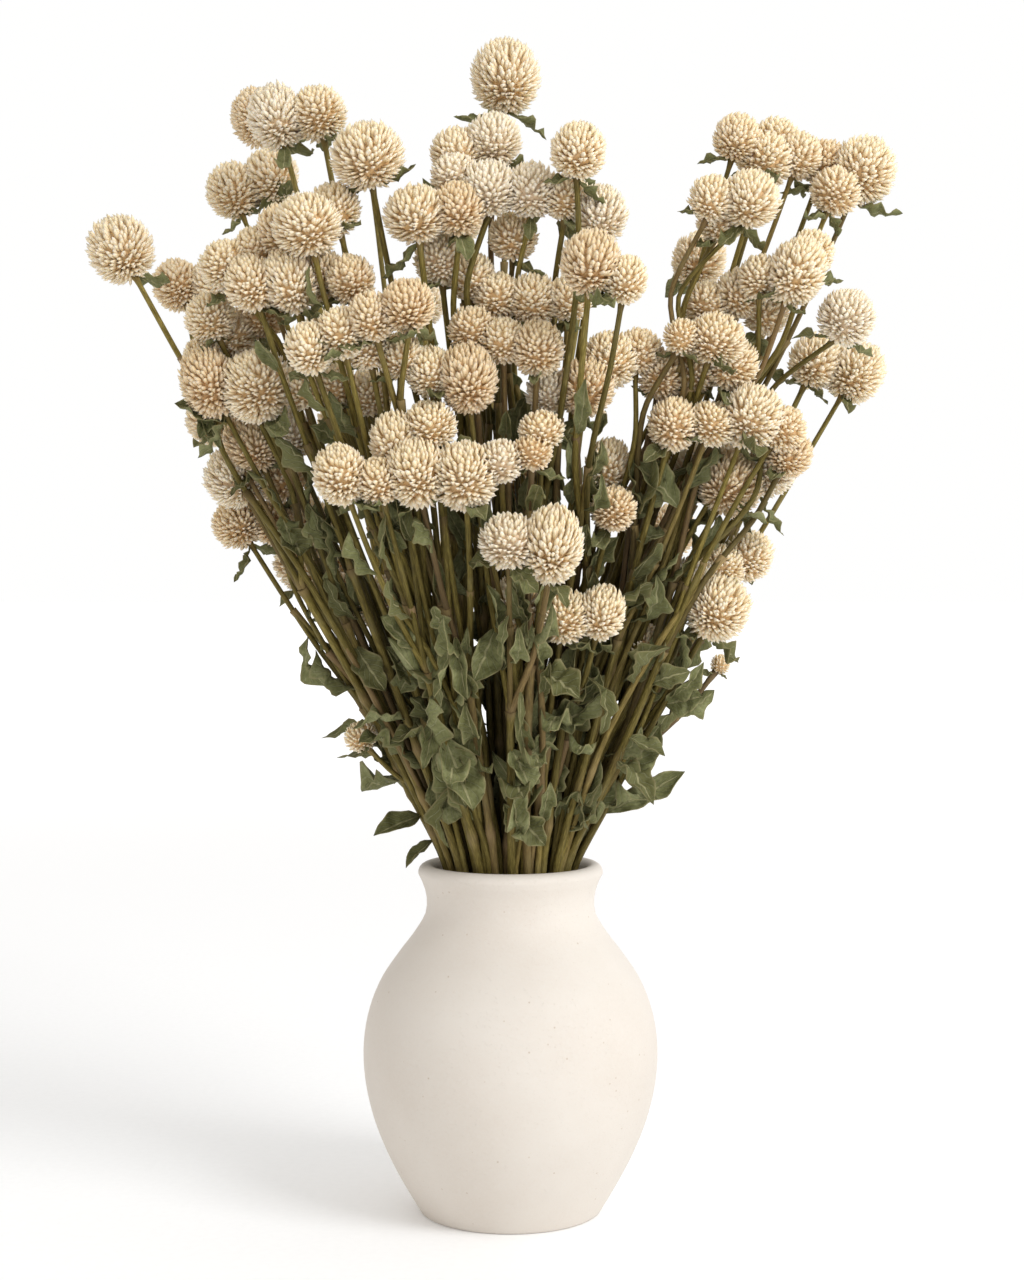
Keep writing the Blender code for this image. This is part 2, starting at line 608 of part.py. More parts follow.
def bloom_shape(centre, half, axis, turn, neighbours):
    """A bloom head: a 20-faced ball whose faces are raised to leaning bract tips.

    The faces round the stem, and those whose tip would lie inside a touching bloom, stay flat.
    """
    side, front, up = upright_frame(axis)
    ring_height = 1 / math.sqrt(5)
    ring_radius = 2 * ring_height
    ball = [(0, 0, 1.0)]
    for height, start in ((ring_height, 0), (-ring_height, math.pi / 5)):
        for i in range(5):
            angle = turn + start + 2 * math.pi * i / 5
            ball.append((ring_radius * math.cos(angle), ring_radius * math.sin(angle), height))
    ball = [np.array(point) * 0.97 for point in ball] + [np.array((0, 0, -SEAT_DEPTH))]
    faces = []
    for i in range(5):
        j = (i + 1) % 5
        faces += [(0, 1 + i, 1 + j), (1 + i, 6 + i, 1 + j), (1 + j, 6 + i, 6 + j), (11, 6 + j, 6 + i)]

    def placed(point):
        return centre + (side * point[0] + front * point[1]) * half[0] + up * point[2] * half[1]

    points, tips = list(ball), []
    for face in faces:
        middle = sum(ball[i] for i in face) + np.array((0, 0, 0.5))
        tip = middle / np.linalg.norm(middle)
        buried = any(np.linalg.norm((placed(tip) - other) / size.mean()) < 1.05 for other, size in neighbours)
        if 11 in face or buried:
            tips.append(face)
            continue
        points.append(tip)
        tips += [(face[i], face[(i + 1) % 3], len(points) - 1) for i in range(3)]
    return [placed(point) for point in points], tips


def tube_shape(route, radii, first_axis=None, sides=STEM_SIDES):
    """A tube of a few sides along points, its rings square to the bisectors of its bends."""
    route = [np.array(point, float) for point in route]
    runs = [(b - a) / np.linalg.norm(b - a) for a, b in zip(route, route[1:])]
    axes = [runs[0]] + [(p + q) / np.linalg.norm(p + q) for p, q in zip(runs, runs[1:])] + [runs[-1]]
    if first_axis is not None:
        axes[0] = np.array(first_axis, float)
    side = upright_frame(axes[0])[0]
    points = []
    for spot, radius, axis in zip(route, radii, axes):
        side = side - axis * side.dot(axis)
        side = side / np.linalg.norm(side)
        other = np.cross(axis, side)
        for i in range(sides):
            angle = 2 * math.pi * i / sides
            points.append(spot + (side * math.cos(angle) + other * math.sin(angle)) * radius)
    faces = [list(range(sides))[::-1], list(range(len(points) - sides, len(points)))]
    for ring in range(len(route) - 1):
        for i in range(sides):
            j = (i + 1) % sides
            low = ring * sides
            faces.append([low + i, low + j, low + sides + j, low + sides + i])
    return points, faces


def leaf_shape(rib, left, right):
    """A closed blade with a thick rib and thin edges, split into triangles alike on both faces."""
    upward = np.cross(left[1] - right[1], rib[3] - rib[1])
    upward = -upward / np.linalg.norm(upward) * LEAF_THICKNESS / 2
    inner = rib[1:-1]
    points = [rib[0], rib[-1], *left, *right, *(inner + upward), *(inner - upward)]
    count = len(inner)
    faces = []
    for rib_start, flip in ((2 + 2 * count, False), (2 + 3 * count, True)):
        for edge_start, mirror in ((2, False), (2 + count, True)):
            edge = [0, *range(edge_start, edge_start + count), 1]
            ridge = [0, *range(rib_start, rib_start + count), 1]
            strip = [(edge[0], edge[1], ridge[1])]
            for i in range(1, count):
                strip += [(edge[i], edge[i + 1], ridge[i]), (edge[i + 1], ridge[i + 1], ridge[i])]
            strip.append((edge[count], edge[count + 1], ridge[count]))
            turn = flip != mirror
            faces += [face[::-1] if turn else face for face in strip]
    return points, faces


def facing_out(points, faces):
    """The faces, all turned the other way if the closed shape is inside out."""
    corners = np.array(points, float)
    volume = 0.0
    for face in faces:
        for i in range(1, len(face) - 1):
            volume += np.dot(corners[face[0]], np.cross(corners[face[i]], corners[face[i + 1]]))
    return faces if volume > 0 else [list(face)[::-1] for face in faces]


def keep_outer_skin(mesh):
    """Fills hollows that fusing sealed and drops loose scraps: only the largest closed skin stays."""
    shape = bmesh.new()
    shape.from_mesh(mesh)
    waiting = set(shape.faces)
    skins = []
    while waiting:
        skin, edge_of_skin = [], [waiting.pop()]
        while edge_of_skin:
            face = edge_of_skin.pop()
            skin.append(face)
            for edge in face.edges:
                fresh = [near for near in edge.link_faces if near in waiting]
                waiting.difference_update(fresh)
                edge_of_skin += fresh
        skins.append(skin)
    largest = max(skins, key=lambda skin: sum(face.calc_area() for face in skin))
    spare = [face for skin in skins if skin is not largest for face in skin]
    bmesh.ops.delete(shape, geom=spare, context="FACES")
    shape.to_mesh(mesh)
    shape.free()


def fused(name, shapes, look):
    """One object from closed shapes that cross each other, joined by a Boolean union."""
    made = [mesh_object(name, points, facing_out(points, faces), look) for points, faces in shapes]
    base, rest = made[0], made[1:]
    base.name = name
    if rest:
        group = bpy.data.collections.new(name + "_repeats")
        bpy.context.scene.collection.children.link(group)
        for obj in rest:
            bpy.context.scene.collection.objects.unlink(obj)
            group.objects.link(obj)
        union = base.modifiers.new("union", "BOOLEAN")
        union.operation = "UNION"
        union.operand_type = "COLLECTION"
        union.collection = group
        union.solver = "MANIFOLD"
        graph = bpy.context.evaluated_depsgraph_get()
        joined = bpy.data.meshes.new_from_object(base.evaluated_get(graph))
        base.modifiers.clear()
        base.data = joined
        for obj in rest:
            bpy.data.objects.remove(obj, do_unlink=True)
        bpy.data.collections.remove(group)
        keep_outer_skin(base.data)
    base.data.name = name
    return base


def make_blooms(centres, half, axes, cluster):
    """A node for each cluster of touching blooms."""
    look = material("dry cream bracts", (0.83, 0.70, 0.50), 0.85)
    for number, label in enumerate(sorted(set(cluster), key=lambda one: list(cluster).index(one)), 1):
        members = [i for i in range(len(centres)) if cluster[i] == label]
        shapes = []
        for i in members:
            neighbours = [(centres[j], half[j]) for j in members if j != i]
            shapes.append(bloom_shape(centres[i], half[i], axes[i], i * 1.7, neighbours))
        kind = "bloom" if len(members) == 1 else "bloom_cluster"
        fused(f"{kind}_{number:02d}", shapes, look)


def stem_shapes(routes, plant):
    shapes = []
    for place, (_, route) in enumerate(stem for stem in routes.stems if stem[0] == plant):
        spots = [routes.points[i] for i in route]
        apart = np.array([*(spots[1] - spots[0])[:2], 0.0])
        spots[0] = spots[0] + apart / np.linalg.norm(apart) * FOOT_SPREAD + np.array([0, 0, 0.2 * place])
        end = spots[-1] - spots[-2]
        spots[-1] = spots[-1] + end / np.linalg.norm(end) * STEM_RADIUS * 0.6
        radii = [STEM_RADIUS] * (len(spots) - 1) + [STEM_RADIUS * JOINT_SWELL]
        shapes.append(tube_shape(spots, radii, first_axis=(0, 0, 1)))
    for owner, route, _ in routes.twigs:
        if owner == plant:
            spots = [routes.points[i] for i in route]
            shapes.append(tube_shape(spots, [TWIG_RADIUS] * len(spots)))
    return shapes


def make_plants(routes, leaves):
    """A node for each cut plant: its stems from one foot, its twigs and its leaves."""
    look = material("dry olive stems and leaves", (0.21, 0.19, 0.09), 0.8)
    for plant in range(max(stem[0] for stem in routes.stems) + 1):
        shapes = stem_shapes(routes, plant)
        shapes += [leaf_shape(*shape) for owner, shape in leaves if owner == plant]
        fused(f"plant_{plant + 1:02d}", shapes, look)


def main():
    clear_scene()
    seen, depth, half = listed_blooms()
    centres, cluster = settle_blooms(seen, depth, half)
    axes = turn_from_neighbours(centres, half)
    routes = route_stems(centres, half, axes)
    clear_stems(routes, centres, half, axes)
    leaves = place_leaves(routes, centres, half, axes)
    make_vase()
    make_blooms(centres, half, axes, cluster)
    make_plants(routes, leaves)
    print(len(centres), "blooms,", len(leaves), "leaves")


main()
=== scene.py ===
# %% [markdown]
# # Vase of dried globe amaranth
# A turned stoneware vase holds a wide, loose fan of dried globe amaranth: cream heads of papery bracts on thin
# olive stems with curled, grey-green leaves. This lesson dresses a packed construction model. The model fixes the
# size and the place of every piece, and here each plain solid gets a finer piece that stands in its place.

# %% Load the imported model
import math
import random

import bpy
import numpy as np
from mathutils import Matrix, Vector


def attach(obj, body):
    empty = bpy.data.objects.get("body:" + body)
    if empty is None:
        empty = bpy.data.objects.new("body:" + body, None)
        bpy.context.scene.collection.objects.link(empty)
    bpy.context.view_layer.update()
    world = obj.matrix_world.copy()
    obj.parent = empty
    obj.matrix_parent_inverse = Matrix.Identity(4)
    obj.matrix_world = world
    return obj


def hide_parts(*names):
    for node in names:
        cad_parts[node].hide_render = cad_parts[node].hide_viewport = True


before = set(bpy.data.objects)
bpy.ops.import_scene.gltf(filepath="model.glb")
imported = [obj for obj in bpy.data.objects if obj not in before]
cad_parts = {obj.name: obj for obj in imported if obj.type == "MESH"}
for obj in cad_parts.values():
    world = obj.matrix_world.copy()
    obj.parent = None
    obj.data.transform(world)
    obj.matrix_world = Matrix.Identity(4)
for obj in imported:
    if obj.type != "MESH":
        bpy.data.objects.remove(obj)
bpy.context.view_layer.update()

MM = 0.001

# %% [markdown]
# ## The camera
# A bouquet is photographed from a little way off, level with its middle, so that the vase isn't seen from above.
# The lens is long enough to keep the rim nearly flat. The blooms further down were measured from this same spot.

# %% Camera
EYE_ACROSS = 0.6
EYE_DISTANCE = 854.0
EYE_HEIGHT = 254.0
EYE_DIP = 1.7
LENS = 60.1

camera = bpy.data.objects.new("camera", bpy.data.cameras.new("camera"))
camera.data.lens = LENS
camera.location = (EYE_ACROSS * MM, -EYE_DISTANCE * MM, EYE_HEIGHT * MM)
camera.rotation_euler = (math.radians(90 - EYE_DIP), 0, 0)
bpy.context.scene.collection.objects.link(camera)
bpy.context.scene.camera = camera
print("camera at", tuple(round(value, 3) for value in camera.location))

# %% [markdown]
# ## Where the blooms are
# Each row is one bloom as it looks from the camera: across and up in millimetres on the plane through the vase's
# axis, then its width, its height, and how many layers it lies behind the bouquet's front. Real bouquets have no
# rule for this, so the places are measured, and only the depth and the far side follow a rule.

# %% Bloom tables
# Blooms: across and up on the plane through the vase's axis, width, height, layers behind the bouquet's front
LEFT_BLOOMS = (
    (-155, 384, 25, 26, 0.5), (-100, 436, 22, 25, 0.5), (-69, 438, 22, 21, 1.5), (-57, 421, 28, 26, 0.5),
    (-78, 393, 27, 25, 0), (-91, 390, 20, 22, 1), (-70, 401, 20, 20, 2), (-113, 379, 21, 20, 1),
    (-110, 369, 21, 23, 0), (-125, 358, 20, 20, 0), (-102, 383, 15, 16, 2), (-89, 371, 20, 26, 1),
    (-75, 375, 20, 21, 1), (-97, 360, 16, 20, 2), (-108, 349, 21, 20, 1), (-106, 330, 29, 29, 0),
    (-132, 328, 22, 28, 0), (-122, 341, 18, 20, 1), (-104, 309, 22, 24, 1), (-87, 312, 19, 22, 1),
    (-113, 292, 25, 25, 0), (-118, 275, 20, 19, 0), (-96, 278, 15, 17, 1), (-73, 351, 20, 21, 0),
    (-84, 343, 17, 20, 1), (-58, 344, 14, 16, 1), (-44, 344, 12, 11, 1), (-61, 331, 14, 11, 1),
    (-79, 329, 18, 17, 2), (-51, 326, 17, 16, 2), (-50, 311, 20, 25, 0), (-71, 295, 21, 24, 0),
    (-57, 290, 15, 16, 1), (-58, 372, 19, 20, 1), (-54, 360, 19, 20, 0), (-71, 258, 19, 17, 0),
    (-74, 246, 15, 17, 1), (-63, 249, 11, 12, 0.5), (-60, 190, 13, 12, 0),
)
MIDDLE_BLOOMS = (
    (-2, 452, 26, 29, 1.5), (-4, 428, 21, 21, 1.5), (-24, 423, 20, 19, 2), (-31, 410, 15, 16, 2),
    (-16, 410, 23, 22, 1), (-18, 398, 21, 22, 0), (10, 410, 21, 21, 1.5), (27, 423, 21, 22, 0.5),
    (31, 405, 17, 15, 2), (1, 389, 19, 19, 2), (43, 394, 21, 23, 1), (30, 380, 23, 26, 0.3),
    (48, 371, 17, 19, 0.5), (-45, 397, 26, 23, 0), (-26, 384, 20, 22, 1), (-15, 374, 16, 18, 3),
    (-36, 363, 22, 21, 0), (-19, 352, 15, 14, 2), (-33, 333, 19, 20, 1), (-12, 334, 23, 28, 0.3),
    (-2, 347, 17, 18, 2), (-7, 364, 12, 15, 3), (10, 364, 21, 21, 0.5), (14, 344, 21, 23, 0),
    (25, 365, 14, 14, 2), (40, 342, 23, 23, 0.3), (31, 328, 23, 24, 0), (58, 333, 19, 21, 1),
    (51, 344, 14, 14, 2), (57, 315, 21, 22, 0), (78, 315, 21, 18, 0), (-30, 315, 21, 20, 0.5),
    (-38, 293, 24, 28, 0), (-17, 290, 26, 27, 0), (-4, 301, 18, 17, 0.5), (-7, 269, 23, 21, 0),
    (-4, 246, 24, 24, 0), (13, 315, 18, 15, 0.5), (17, 303, 16, 14, 0), (14, 327, 16, 14, 2),
    (39, 298, 17, 22, 2), (23, 266, 23, 32, 0), (41, 281, 17, 15, 1), (25, 235, 23, 21, 0),
    (41, 240, 17, 22, 1), (54, 226, 14, 15, 1), (7, 290, 13, 14, 3),
)
RIGHT_BLOOMS = (
    (90, 428, 18, 19, 1), (105, 427, 18, 18, 2), (115, 421, 18, 18, 1), (101, 419, 22, 22, 0.5),
    (96, 404, 23, 23, 0), (80, 405, 17, 17, 1), (83, 395, 13, 12, 2), (141, 417, 25, 26, 0.5),
    (128, 405, 20, 19, 0.5), (125, 418, 16, 16, 1.5), (120, 385, 18, 18, 1), (115, 373, 22, 28, 0),
    (98, 374, 17, 16, 1), (134, 357, 22, 22, 0), (139, 335, 23, 25, 0.5), (90, 361, 20, 20, 1),
    (78, 362, 16, 17, 2), (83, 348, 24, 21, 0), (67, 349, 15, 15, 0.5), (103, 359, 13, 15, 2),
    (96, 340, 21, 22, 0.5), (101, 323, 24, 26, 0), (114, 319, 14, 16, 1), (110, 308, 13, 12, 1),
    (106, 294, 22, 24, 1), (87, 283, 26, 26, 0), (97, 265, 19, 20, 0.5), (86, 257, 14, 13, 1),
    (84, 240, 24, 26, 0), (69, 252, 11, 11, 1), (84, 219, 8, 8, 0), (72, 336, 14, 13, 1),
)
# Half width and half depth of the bouquet at a few heights, and the depth of a layer of blooms
FAN_HEIGHTS = (140, 200, 250, 300, 380, 420, 450, 475)
FAN_WIDTHS = (34, 72, 100, 135, 170, 158, 115, 50)
FAN_DEPTHS = (25, 48, 72, 98, 116, 100, 70, 30)
LAYER = 23.0

# Blooms that are partly hidden, blooms of the middle that gaps show, and blooms of the far side
HIDDEN_LEAST = 18.0
INNER_BLOOMS = 18
INNER_ACROSS = (-140, 145, 5)
INNER_UP = (240, 430, 5)
INNER_SIZE = (21.0, 22.0)
INNER_DEPTHS = (2.0, 26.0, 50.0)
INNER_ROOM = 9.0
OPEN_GAP = (50.0, 74.0, 340.0)
ENCLOSED_COLUMN = 18.0
ENCLOSED_ROW = 22.0
ENCLOSED_STEP = 8.0
FAR_BLOOMS = 12
FAR_SPACING = 36.0
FAR_LEAST_DEPTH = 50.0

# %% [markdown]
# ## Settling the blooms
# Blooms that touch press against each other, and the others keep a small gap. The same steps that placed the
# solids are run again here, so the fine heads land exactly on them: springs pull the blooms of a cluster together,
# push the others apart, and keep the start of each stem free.

# %% Bloom layout
# How blooms that touch are joined, as shares of the distance at which their outlines meet
BLOOM_NODES = 48
CLOSE = 0.74
CLOSEST = 0.68
BLOOM_GAP = 1.0
ROOT_HEIGHT = 90.0
SEAT_DEPTH = 0.80
STEM_ROOM = 2.0


def front_of_fan(across, up):
    """Depth of the bouquet's near side where it looks to be at (across, up)."""
    half = np.interp(up, FAN_HEIGHTS, FAN_WIDTHS)
    reach = np.interp(up, FAN_HEIGHTS, FAN_DEPTHS)
    return -reach * math.sqrt(max(0.0, 1 - (across / half) ** 2))


def world_of(seen, depth):
    """World centres of blooms that look to be at (across, up) from the eye."""
    nearer = (EYE_DISTANCE + depth) / EYE_DISTANCE
    across = EYE_ACROSS + (seen[:, 0] - EYE_ACROSS) * nearer
    up = EYE_HEIGHT + (seen[:, 1] - EYE_HEIGHT) * nearer
    return np.stack([across, depth, up], axis=1)


def far_side_of(rows):
    """Blooms of the far side, each straight behind a bloom of the near side, so the bouquet is full all round."""
    far = []
    for across, up, width, height, layers in rows:
        depth = -front_of_fan(across, up)
        spot = np.array([across, depth, up])
        apart = all(np.linalg.norm(spot - other[0]) > FAR_SPACING for other in far)
        if layers < 0.6 and depth > FAR_LEAST_DEPTH and apart and len(far) < FAR_BLOOMS:
            far.append((spot, width, height))
    return far


def is_enclosed(off):
    """Whether blooms at these offsets (across, up) lie to the left, to the right, above and below."""
    in_column, in_row = np.abs(off[:, 0]) < ENCLOSED_COLUMN, np.abs(off[:, 1]) < ENCLOSED_ROW
    sides = (off[in_column, 1], off[in_row, 0])
    return all((side > ENCLOSED_STEP).any() and (side < -ENCLOSED_STEP).any() for side in sides)


def inner_spots(rows):
    """Places in the bouquet's middle that the near blooms leave open to the eye, the widest gap first."""
    taken = np.array([(row[0], row[1]) for row in rows], float)
    spots, open_spots = [], []
    for across in range(*INNER_ACROSS):
        for up in range(*INNER_UP):
            in_gap = OPEN_GAP[0] < across < OPEN_GAP[1] and up > OPEN_GAP[2]
            if is_enclosed(taken - (across, up)) and not in_gap:
                open_spots.append((across, up))
    open_spots = np.array(open_spots, float)
    while len(spots) < INNER_BLOOMS:
        room = np.linalg.norm(open_spots[:, None] - taken[None], axis=2).min(axis=1)
        if room.max() < INNER_ROOM:
            break
        spots.append(open_spots[room.argmax()])
        taken = np.vstack([taken, spots[-1]])
    return spots


def listed_blooms():
    """Seen places, depths and half sizes of all the blooms, as first laid out."""
    rows = LEFT_BLOOMS + MIDDLE_BLOOMS + RIGHT_BLOOMS
    far = far_side_of(rows)
    inner = inner_spots(rows)
    seen = [(row[0], row[1]) for row in rows] + [(spot[0], spot[2]) for spot, _, _ in far] + inner
    depth = [front_of_fan(row[0], row[1]) + LAYER * row[4] for row in rows] + [spot[1] for spot, _, _ in far]
    depth += [INNER_DEPTHS[place % 3] for place in range(len(inner))]
    size = [[max(side, HIDDEN_LEAST) if row[4] >= 1 else side for side in row[2:4]] for row in rows]
    size += [(width, height) for _, width, height in far] + [INNER_SIZE] * len(inner)
    seen, depth, size = np.array(seen, float), np.array(depth), np.array(size, float)
    nearer = np.minimum((EYE_DISTANCE + depth) / EYE_DISTANCE, 1)
    return seen, depth, size / 2 * nearer[:, None]


def axes_of(centres):
    """Each bloom points away from a spot low in the vase."""
    away = centres - np.array([0.0, 0.0, ROOT_HEIGHT])
    return away / np.linalg.norm(away, axis=1)[:, None]


def reach_along(half, axes, direction):
    """How far a bloom reaches from its centre in a direction."""
    along = (axes * direction).sum(axis=-1) ** 2
    return 1 / np.sqrt((1 - along) / half[..., 0] ** 2 + along / half[..., 1] ** 2)


def pair_sizes(centres, half):
    """For each pair of blooms: distance, direction and the distance at which their outlines would meet."""
    apart = centres[None, :] - centres[:, None]
    distance = np.linalg.norm(apart, axis=2) + np.eye(len(centres))
    direction = apart / distance[..., None]
    axes = axes_of(centres)
    reach = reach_along(half[:, None], axes[:, None], direction)
    return distance, direction, reach + reach_along(half[None, :], axes[None, :], direction)


def join_neighbours(centres, seen, half, most=9):
    """Cluster number of each bloom, and which pairs touch: those that take the least moving come first."""
    distance, _, reach = pair_sizes(centres, half)
    offset = np.abs(seen[None, :] - seen[:, None])
    sideways = np.maximum(np.linalg.norm(offset, axis=2) / reach - 0.66, 0)
    stacked = np.maximum(offset[..., 1] / reach - 0.36, 0)
    effort = 6 * sideways + 12 * stacked + 2 * np.maximum(distance / reach - CLOSE, 0)
    rows, columns = np.triu_indices(len(centres), 1)
    cluster = np.arange(len(centres))
    linked = np.zeros((len(centres), len(centres)), bool)
    for index in np.argsort(effort[rows, columns], kind="stable"):
        a, b = rows[index], columns[index]
        both = (cluster == cluster[a]) | (cluster == cluster[b])
        if cluster[a] == cluster[b] or both.sum() > most:
            continue
        cluster[both] = cluster[a]
        linked[a, b] = linked[b, a] = True
        if len(np.unique(cluster)) == BLOOM_NODES:
            break
    return cluster, linked


def shoves_off_stems(centres, axes, half, depths):
    """How far the foot of each bloom's stem, at some depths below it, lies inside each other bloom, and which way."""
    for below in depths:
        spot = centres - axes * (half[:, 1] * SEAT_DEPTH + below)[:, None]
        away = spot[:, None] - centres[None, :]
        far_off = np.linalg.norm(away, axis=2)
        away = away / far_off[..., None]
        inside = np.maximum(reach_along(half[None, :], axes[None, :], away) + STEM_ROOM - far_off, 0)
        np.fill_diagonal(inside, 0)
        yield below, inside[..., None] * away


def settle_blooms(seen, depth, half, steps=700):
    """Moves blooms, mostly in depth, until those of a cluster touch and all others are clear."""
    cluster, linked = join_neighbours(world_of(seen, depth), seen, half)
    same = cluster[:, None] == cluster[None, :]
    start = seen.copy()
    for step in range(steps):
        late = step > 0.6 * steps
        ease = np.array([0.5, 1.0, 0.5]) if late else np.array([0.16, 1.0, 0.16])
        centres = world_of(seen, depth)
        distance, direction, reach = pair_sizes(centres, half)
        short = np.where(same, 0, np.maximum(reach + BLOOM_GAP - distance, 0))
        slack = np.where(linked, np.maximum(distance - CLOSE * reach, 0), 0) * (6 if late else 2)
        tight = np.where(same, np.maximum(CLOSEST * reach - distance, 0), 0)
        np.fill_diagonal(tight, 0)
        push = (short + tight - slack)[..., None] * direction
        side = np.where(direction[..., 1] >= 0, 0.5, -0.5)
        push[..., 1] += np.where(np.abs(direction[..., 1]) < 0.25, short * side, 0)
        push = push.sum(axis=0)
        for _, shove in shoves_off_stems(centres, axes_of(centres), half, (0.0, 5.0, 10.0, 16.0)):
            push = push + 0.5 * (shove.sum(axis=1) - shove.sum(axis=0))
        move = np.clip(0.35 * push * ease, -2.5, 2.5)
        depth = depth + move[:, 1]
        seen = seen + move[:, [0, 2]] + 0.02 * (start - seen)
    return world_of(seen, depth), cluster


def turn_from_neighbours(centres, half, steps=120):
    """Axes of the blooms, turned so that the stem below each is clear of the other blooms."""
    usual = axes_of(centres)
    axes = usual.copy()
    for _ in range(steps):
        turn = 0.03 * (usual - axes)
        for below, shove in shoves_off_stems(centres, axes, half, (0.0, 4.0, 8.0, 13.0, 18.0)):
            turn = turn - 0.3 * shove.sum(axis=1) / (half[:, 1] + below)[:, None]
        axes = axes + turn
        axes = axes / np.linalg.norm(axes, axis=1)[:, None]
    return axes

# %% Settle them
seen, depth, half = listed_blooms()
centres, cluster = settle_blooms(seen, depth, half)
axes = turn_from_neighbours(centres, half)
print("blooms:", len(centres), "clusters:", len(set(cluster)))

# %% [markdown]
# ## Where the stems run
# Three near blooms share a stem, and five stems that are near in the neck share a plant. A stem goes from the
# vase's floor through the neck to its fork, and a twig from there to each bloom. Runs that come too near are
# pushed apart a little at a time, which bends the stems round each other as they are in a real bunch.

# %% Stem routes
# Stems, in millimetres
VASE_FLOOR = 5.0
FOOT_HEIGHT = VASE_FLOOR + 0.3
FOOT_REACH = 26.0
RIM_HEIGHT = 141.0
RIM_REACH = 27.0
STEM_SPACING = 6.4
STEM_SIDES = 3
STEM_RADIUS = 1.7
TWIG_RADIUS = 1.25
BLOOMS_A_STEM = 3
STEMS_A_PLANT = 5
FORK_SHARE = 0.55
LONG_TWIG = 60.0
BENDS = {False: (0.6,), True: (0.4, 0.78)}
SEAT_GAP = 0.3
STEM_GAP = 0.5


def share_out(spots, size):
    """Groups of near neighbours, each begun at the free spot that is furthest out."""
    free = set(range(len(spots)))
    groups = []
    while free:
        first = max(free, key=lambda i: np.hypot(spots[i][0], spots[i][1]))
        near = sorted(free, key=lambda i: np.linalg.norm(spots[i] - spots[first]))
        groups.append(near[:size])
        free -= set(near[:size])
    return groups


def spread_in_neck(spots):
    """Moves the stems' places in the neck apart until each has its room."""
    for _ in range(400):
        apart = spots[None, :] - spots[:, None]
        distance = np.linalg.norm(apart, axis=2) + np.eye(len(spots)) * 99
        push = np.maximum(STEM_SPACING - distance, 0)[..., None] * apart / np.maximum(distance, 0.01)[..., None]
        spots = spots + 0.3 * push.sum(axis=0)
        spots = spots / np.maximum(np.linalg.norm(spots, axis=1) / RIM_REACH, 1)[:, None]
    return spots


def between(start, end, share):
    return start + (end - start) * share


class Routes:
    """The stems' points and the straight runs between them: point, point, radius, plant, bloom at its end or -1."""

    def __init__(self):
        self.points = []
        self.still = []
        self.runs = []
        self.stems = []
        self.twigs = []

    def add(self, point, still=False):
        self.points.append(np.array(point, float))
        self.still.append(still)
        return len(self.points) - 1

    def link(self, route, radius, plant, bloom=-1):
        for a, b in zip(route, route[1:]):
            self.runs.append((a, b, radius, plant, bloom if b == route[-1] else -1))


def add_stem(routes, plant, foot, rim, fork):
    """One cut stem from the vase's floor, through the belly and the neck, to its fork."""
    route = [foot, routes.add(rim), routes.add(between(rim, fork, 0.5)), routes.add(fork)]
    routes.link(route, STEM_RADIUS, plant)
    routes.stems.append((plant, route))
    return route[-1]


def add_twig(routes, plant, fork_index, bloom, base, axis):
    """One twig from a fork to the seat of its bloom, arriving along the bloom's axis."""
    fork = routes.points[fork_index]
    length = np.linalg.norm(base - fork)
    route = [fork_index]
    for share in BENDS[bool(length > LONG_TWIG)]:
        on_axis = base - axis * (1 - share) * length
        route.append(routes.add(between(between(fork, base, share), on_axis, 0.5 * share + 0.2)))
    route.append(routes.add(base, still=True))
    routes.link(route, TWIG_RADIUS, plant, bloom)
    routes.twigs.append((plant, route, bloom))


def route_stems(centres, half, axes):
    """First routes: near blooms share a stem, and stems near in the neck share a plant."""
    bases = centres - axes * (half[:, 1] * SEAT_DEPTH + SEAT_GAP)[:, None]
    groups = share_out(bases * np.array([1, 1, 0.6]), BLOOMS_A_STEM)
    middles = np.array([bases[group].mean(axis=0) for group in groups])
    lean = middles[:, :2] / (middles[:, 2] - ROOT_HEIGHT)[:, None]
    size = np.linalg.norm(lean, axis=1)[:, None]
    rims = spread_in_neck(lean / size * RIM_REACH * (size / size.max()) ** 0.8)
    routes = Routes()
    for plant, stems in enumerate(share_out(rims, STEMS_A_PLANT)):
        spot = rims[stems].mean(axis=0)
        spot = spot * min(1.0, FOOT_REACH / np.linalg.norm(spot)) * 1.05
        foot = routes.add([*spot, FOOT_HEIGHT], still=True)
        for stem in stems:
            rim = np.array([*rims[stem], RIM_HEIGHT])
            lowest = bases[groups[stem]][:, 2].min()
            share = FORK_SHARE * (lowest - RIM_HEIGHT) / (middles[stem][2] - RIM_HEIGHT)
            fork = add_stem(routes, plant, foot, rim, between(rim, middles[stem], share))
            for bloom in groups[stem]:
                add_twig(routes, plant, fork, bloom, bases[bloom], axes[bloom])
    return routes


def nearest_on_runs(a, b, c, d):
    """Places along runs a-b and c-d, from 0 to 1, where they come nearest."""
    u, v, w = b - a, d - c, a - c
    uu, uv, vv = (u * u).sum(-1), (u * v).sum(-1), (v * v).sum(-1)
    uw, vw = (u * w).sum(-1), (v * w).sum(-1)
    s = np.clip((uv * vw - vv * uw) / np.maximum(uu * vv - uv * uv, 1e-6), 0, 1)
    t = np.clip((uv * s + vw) / np.maximum(vv, 1e-6), 0, 1)
    s = np.clip((uv * t - uw) / np.maximum(uu, 1e-6), 0, 1)
    return s, t


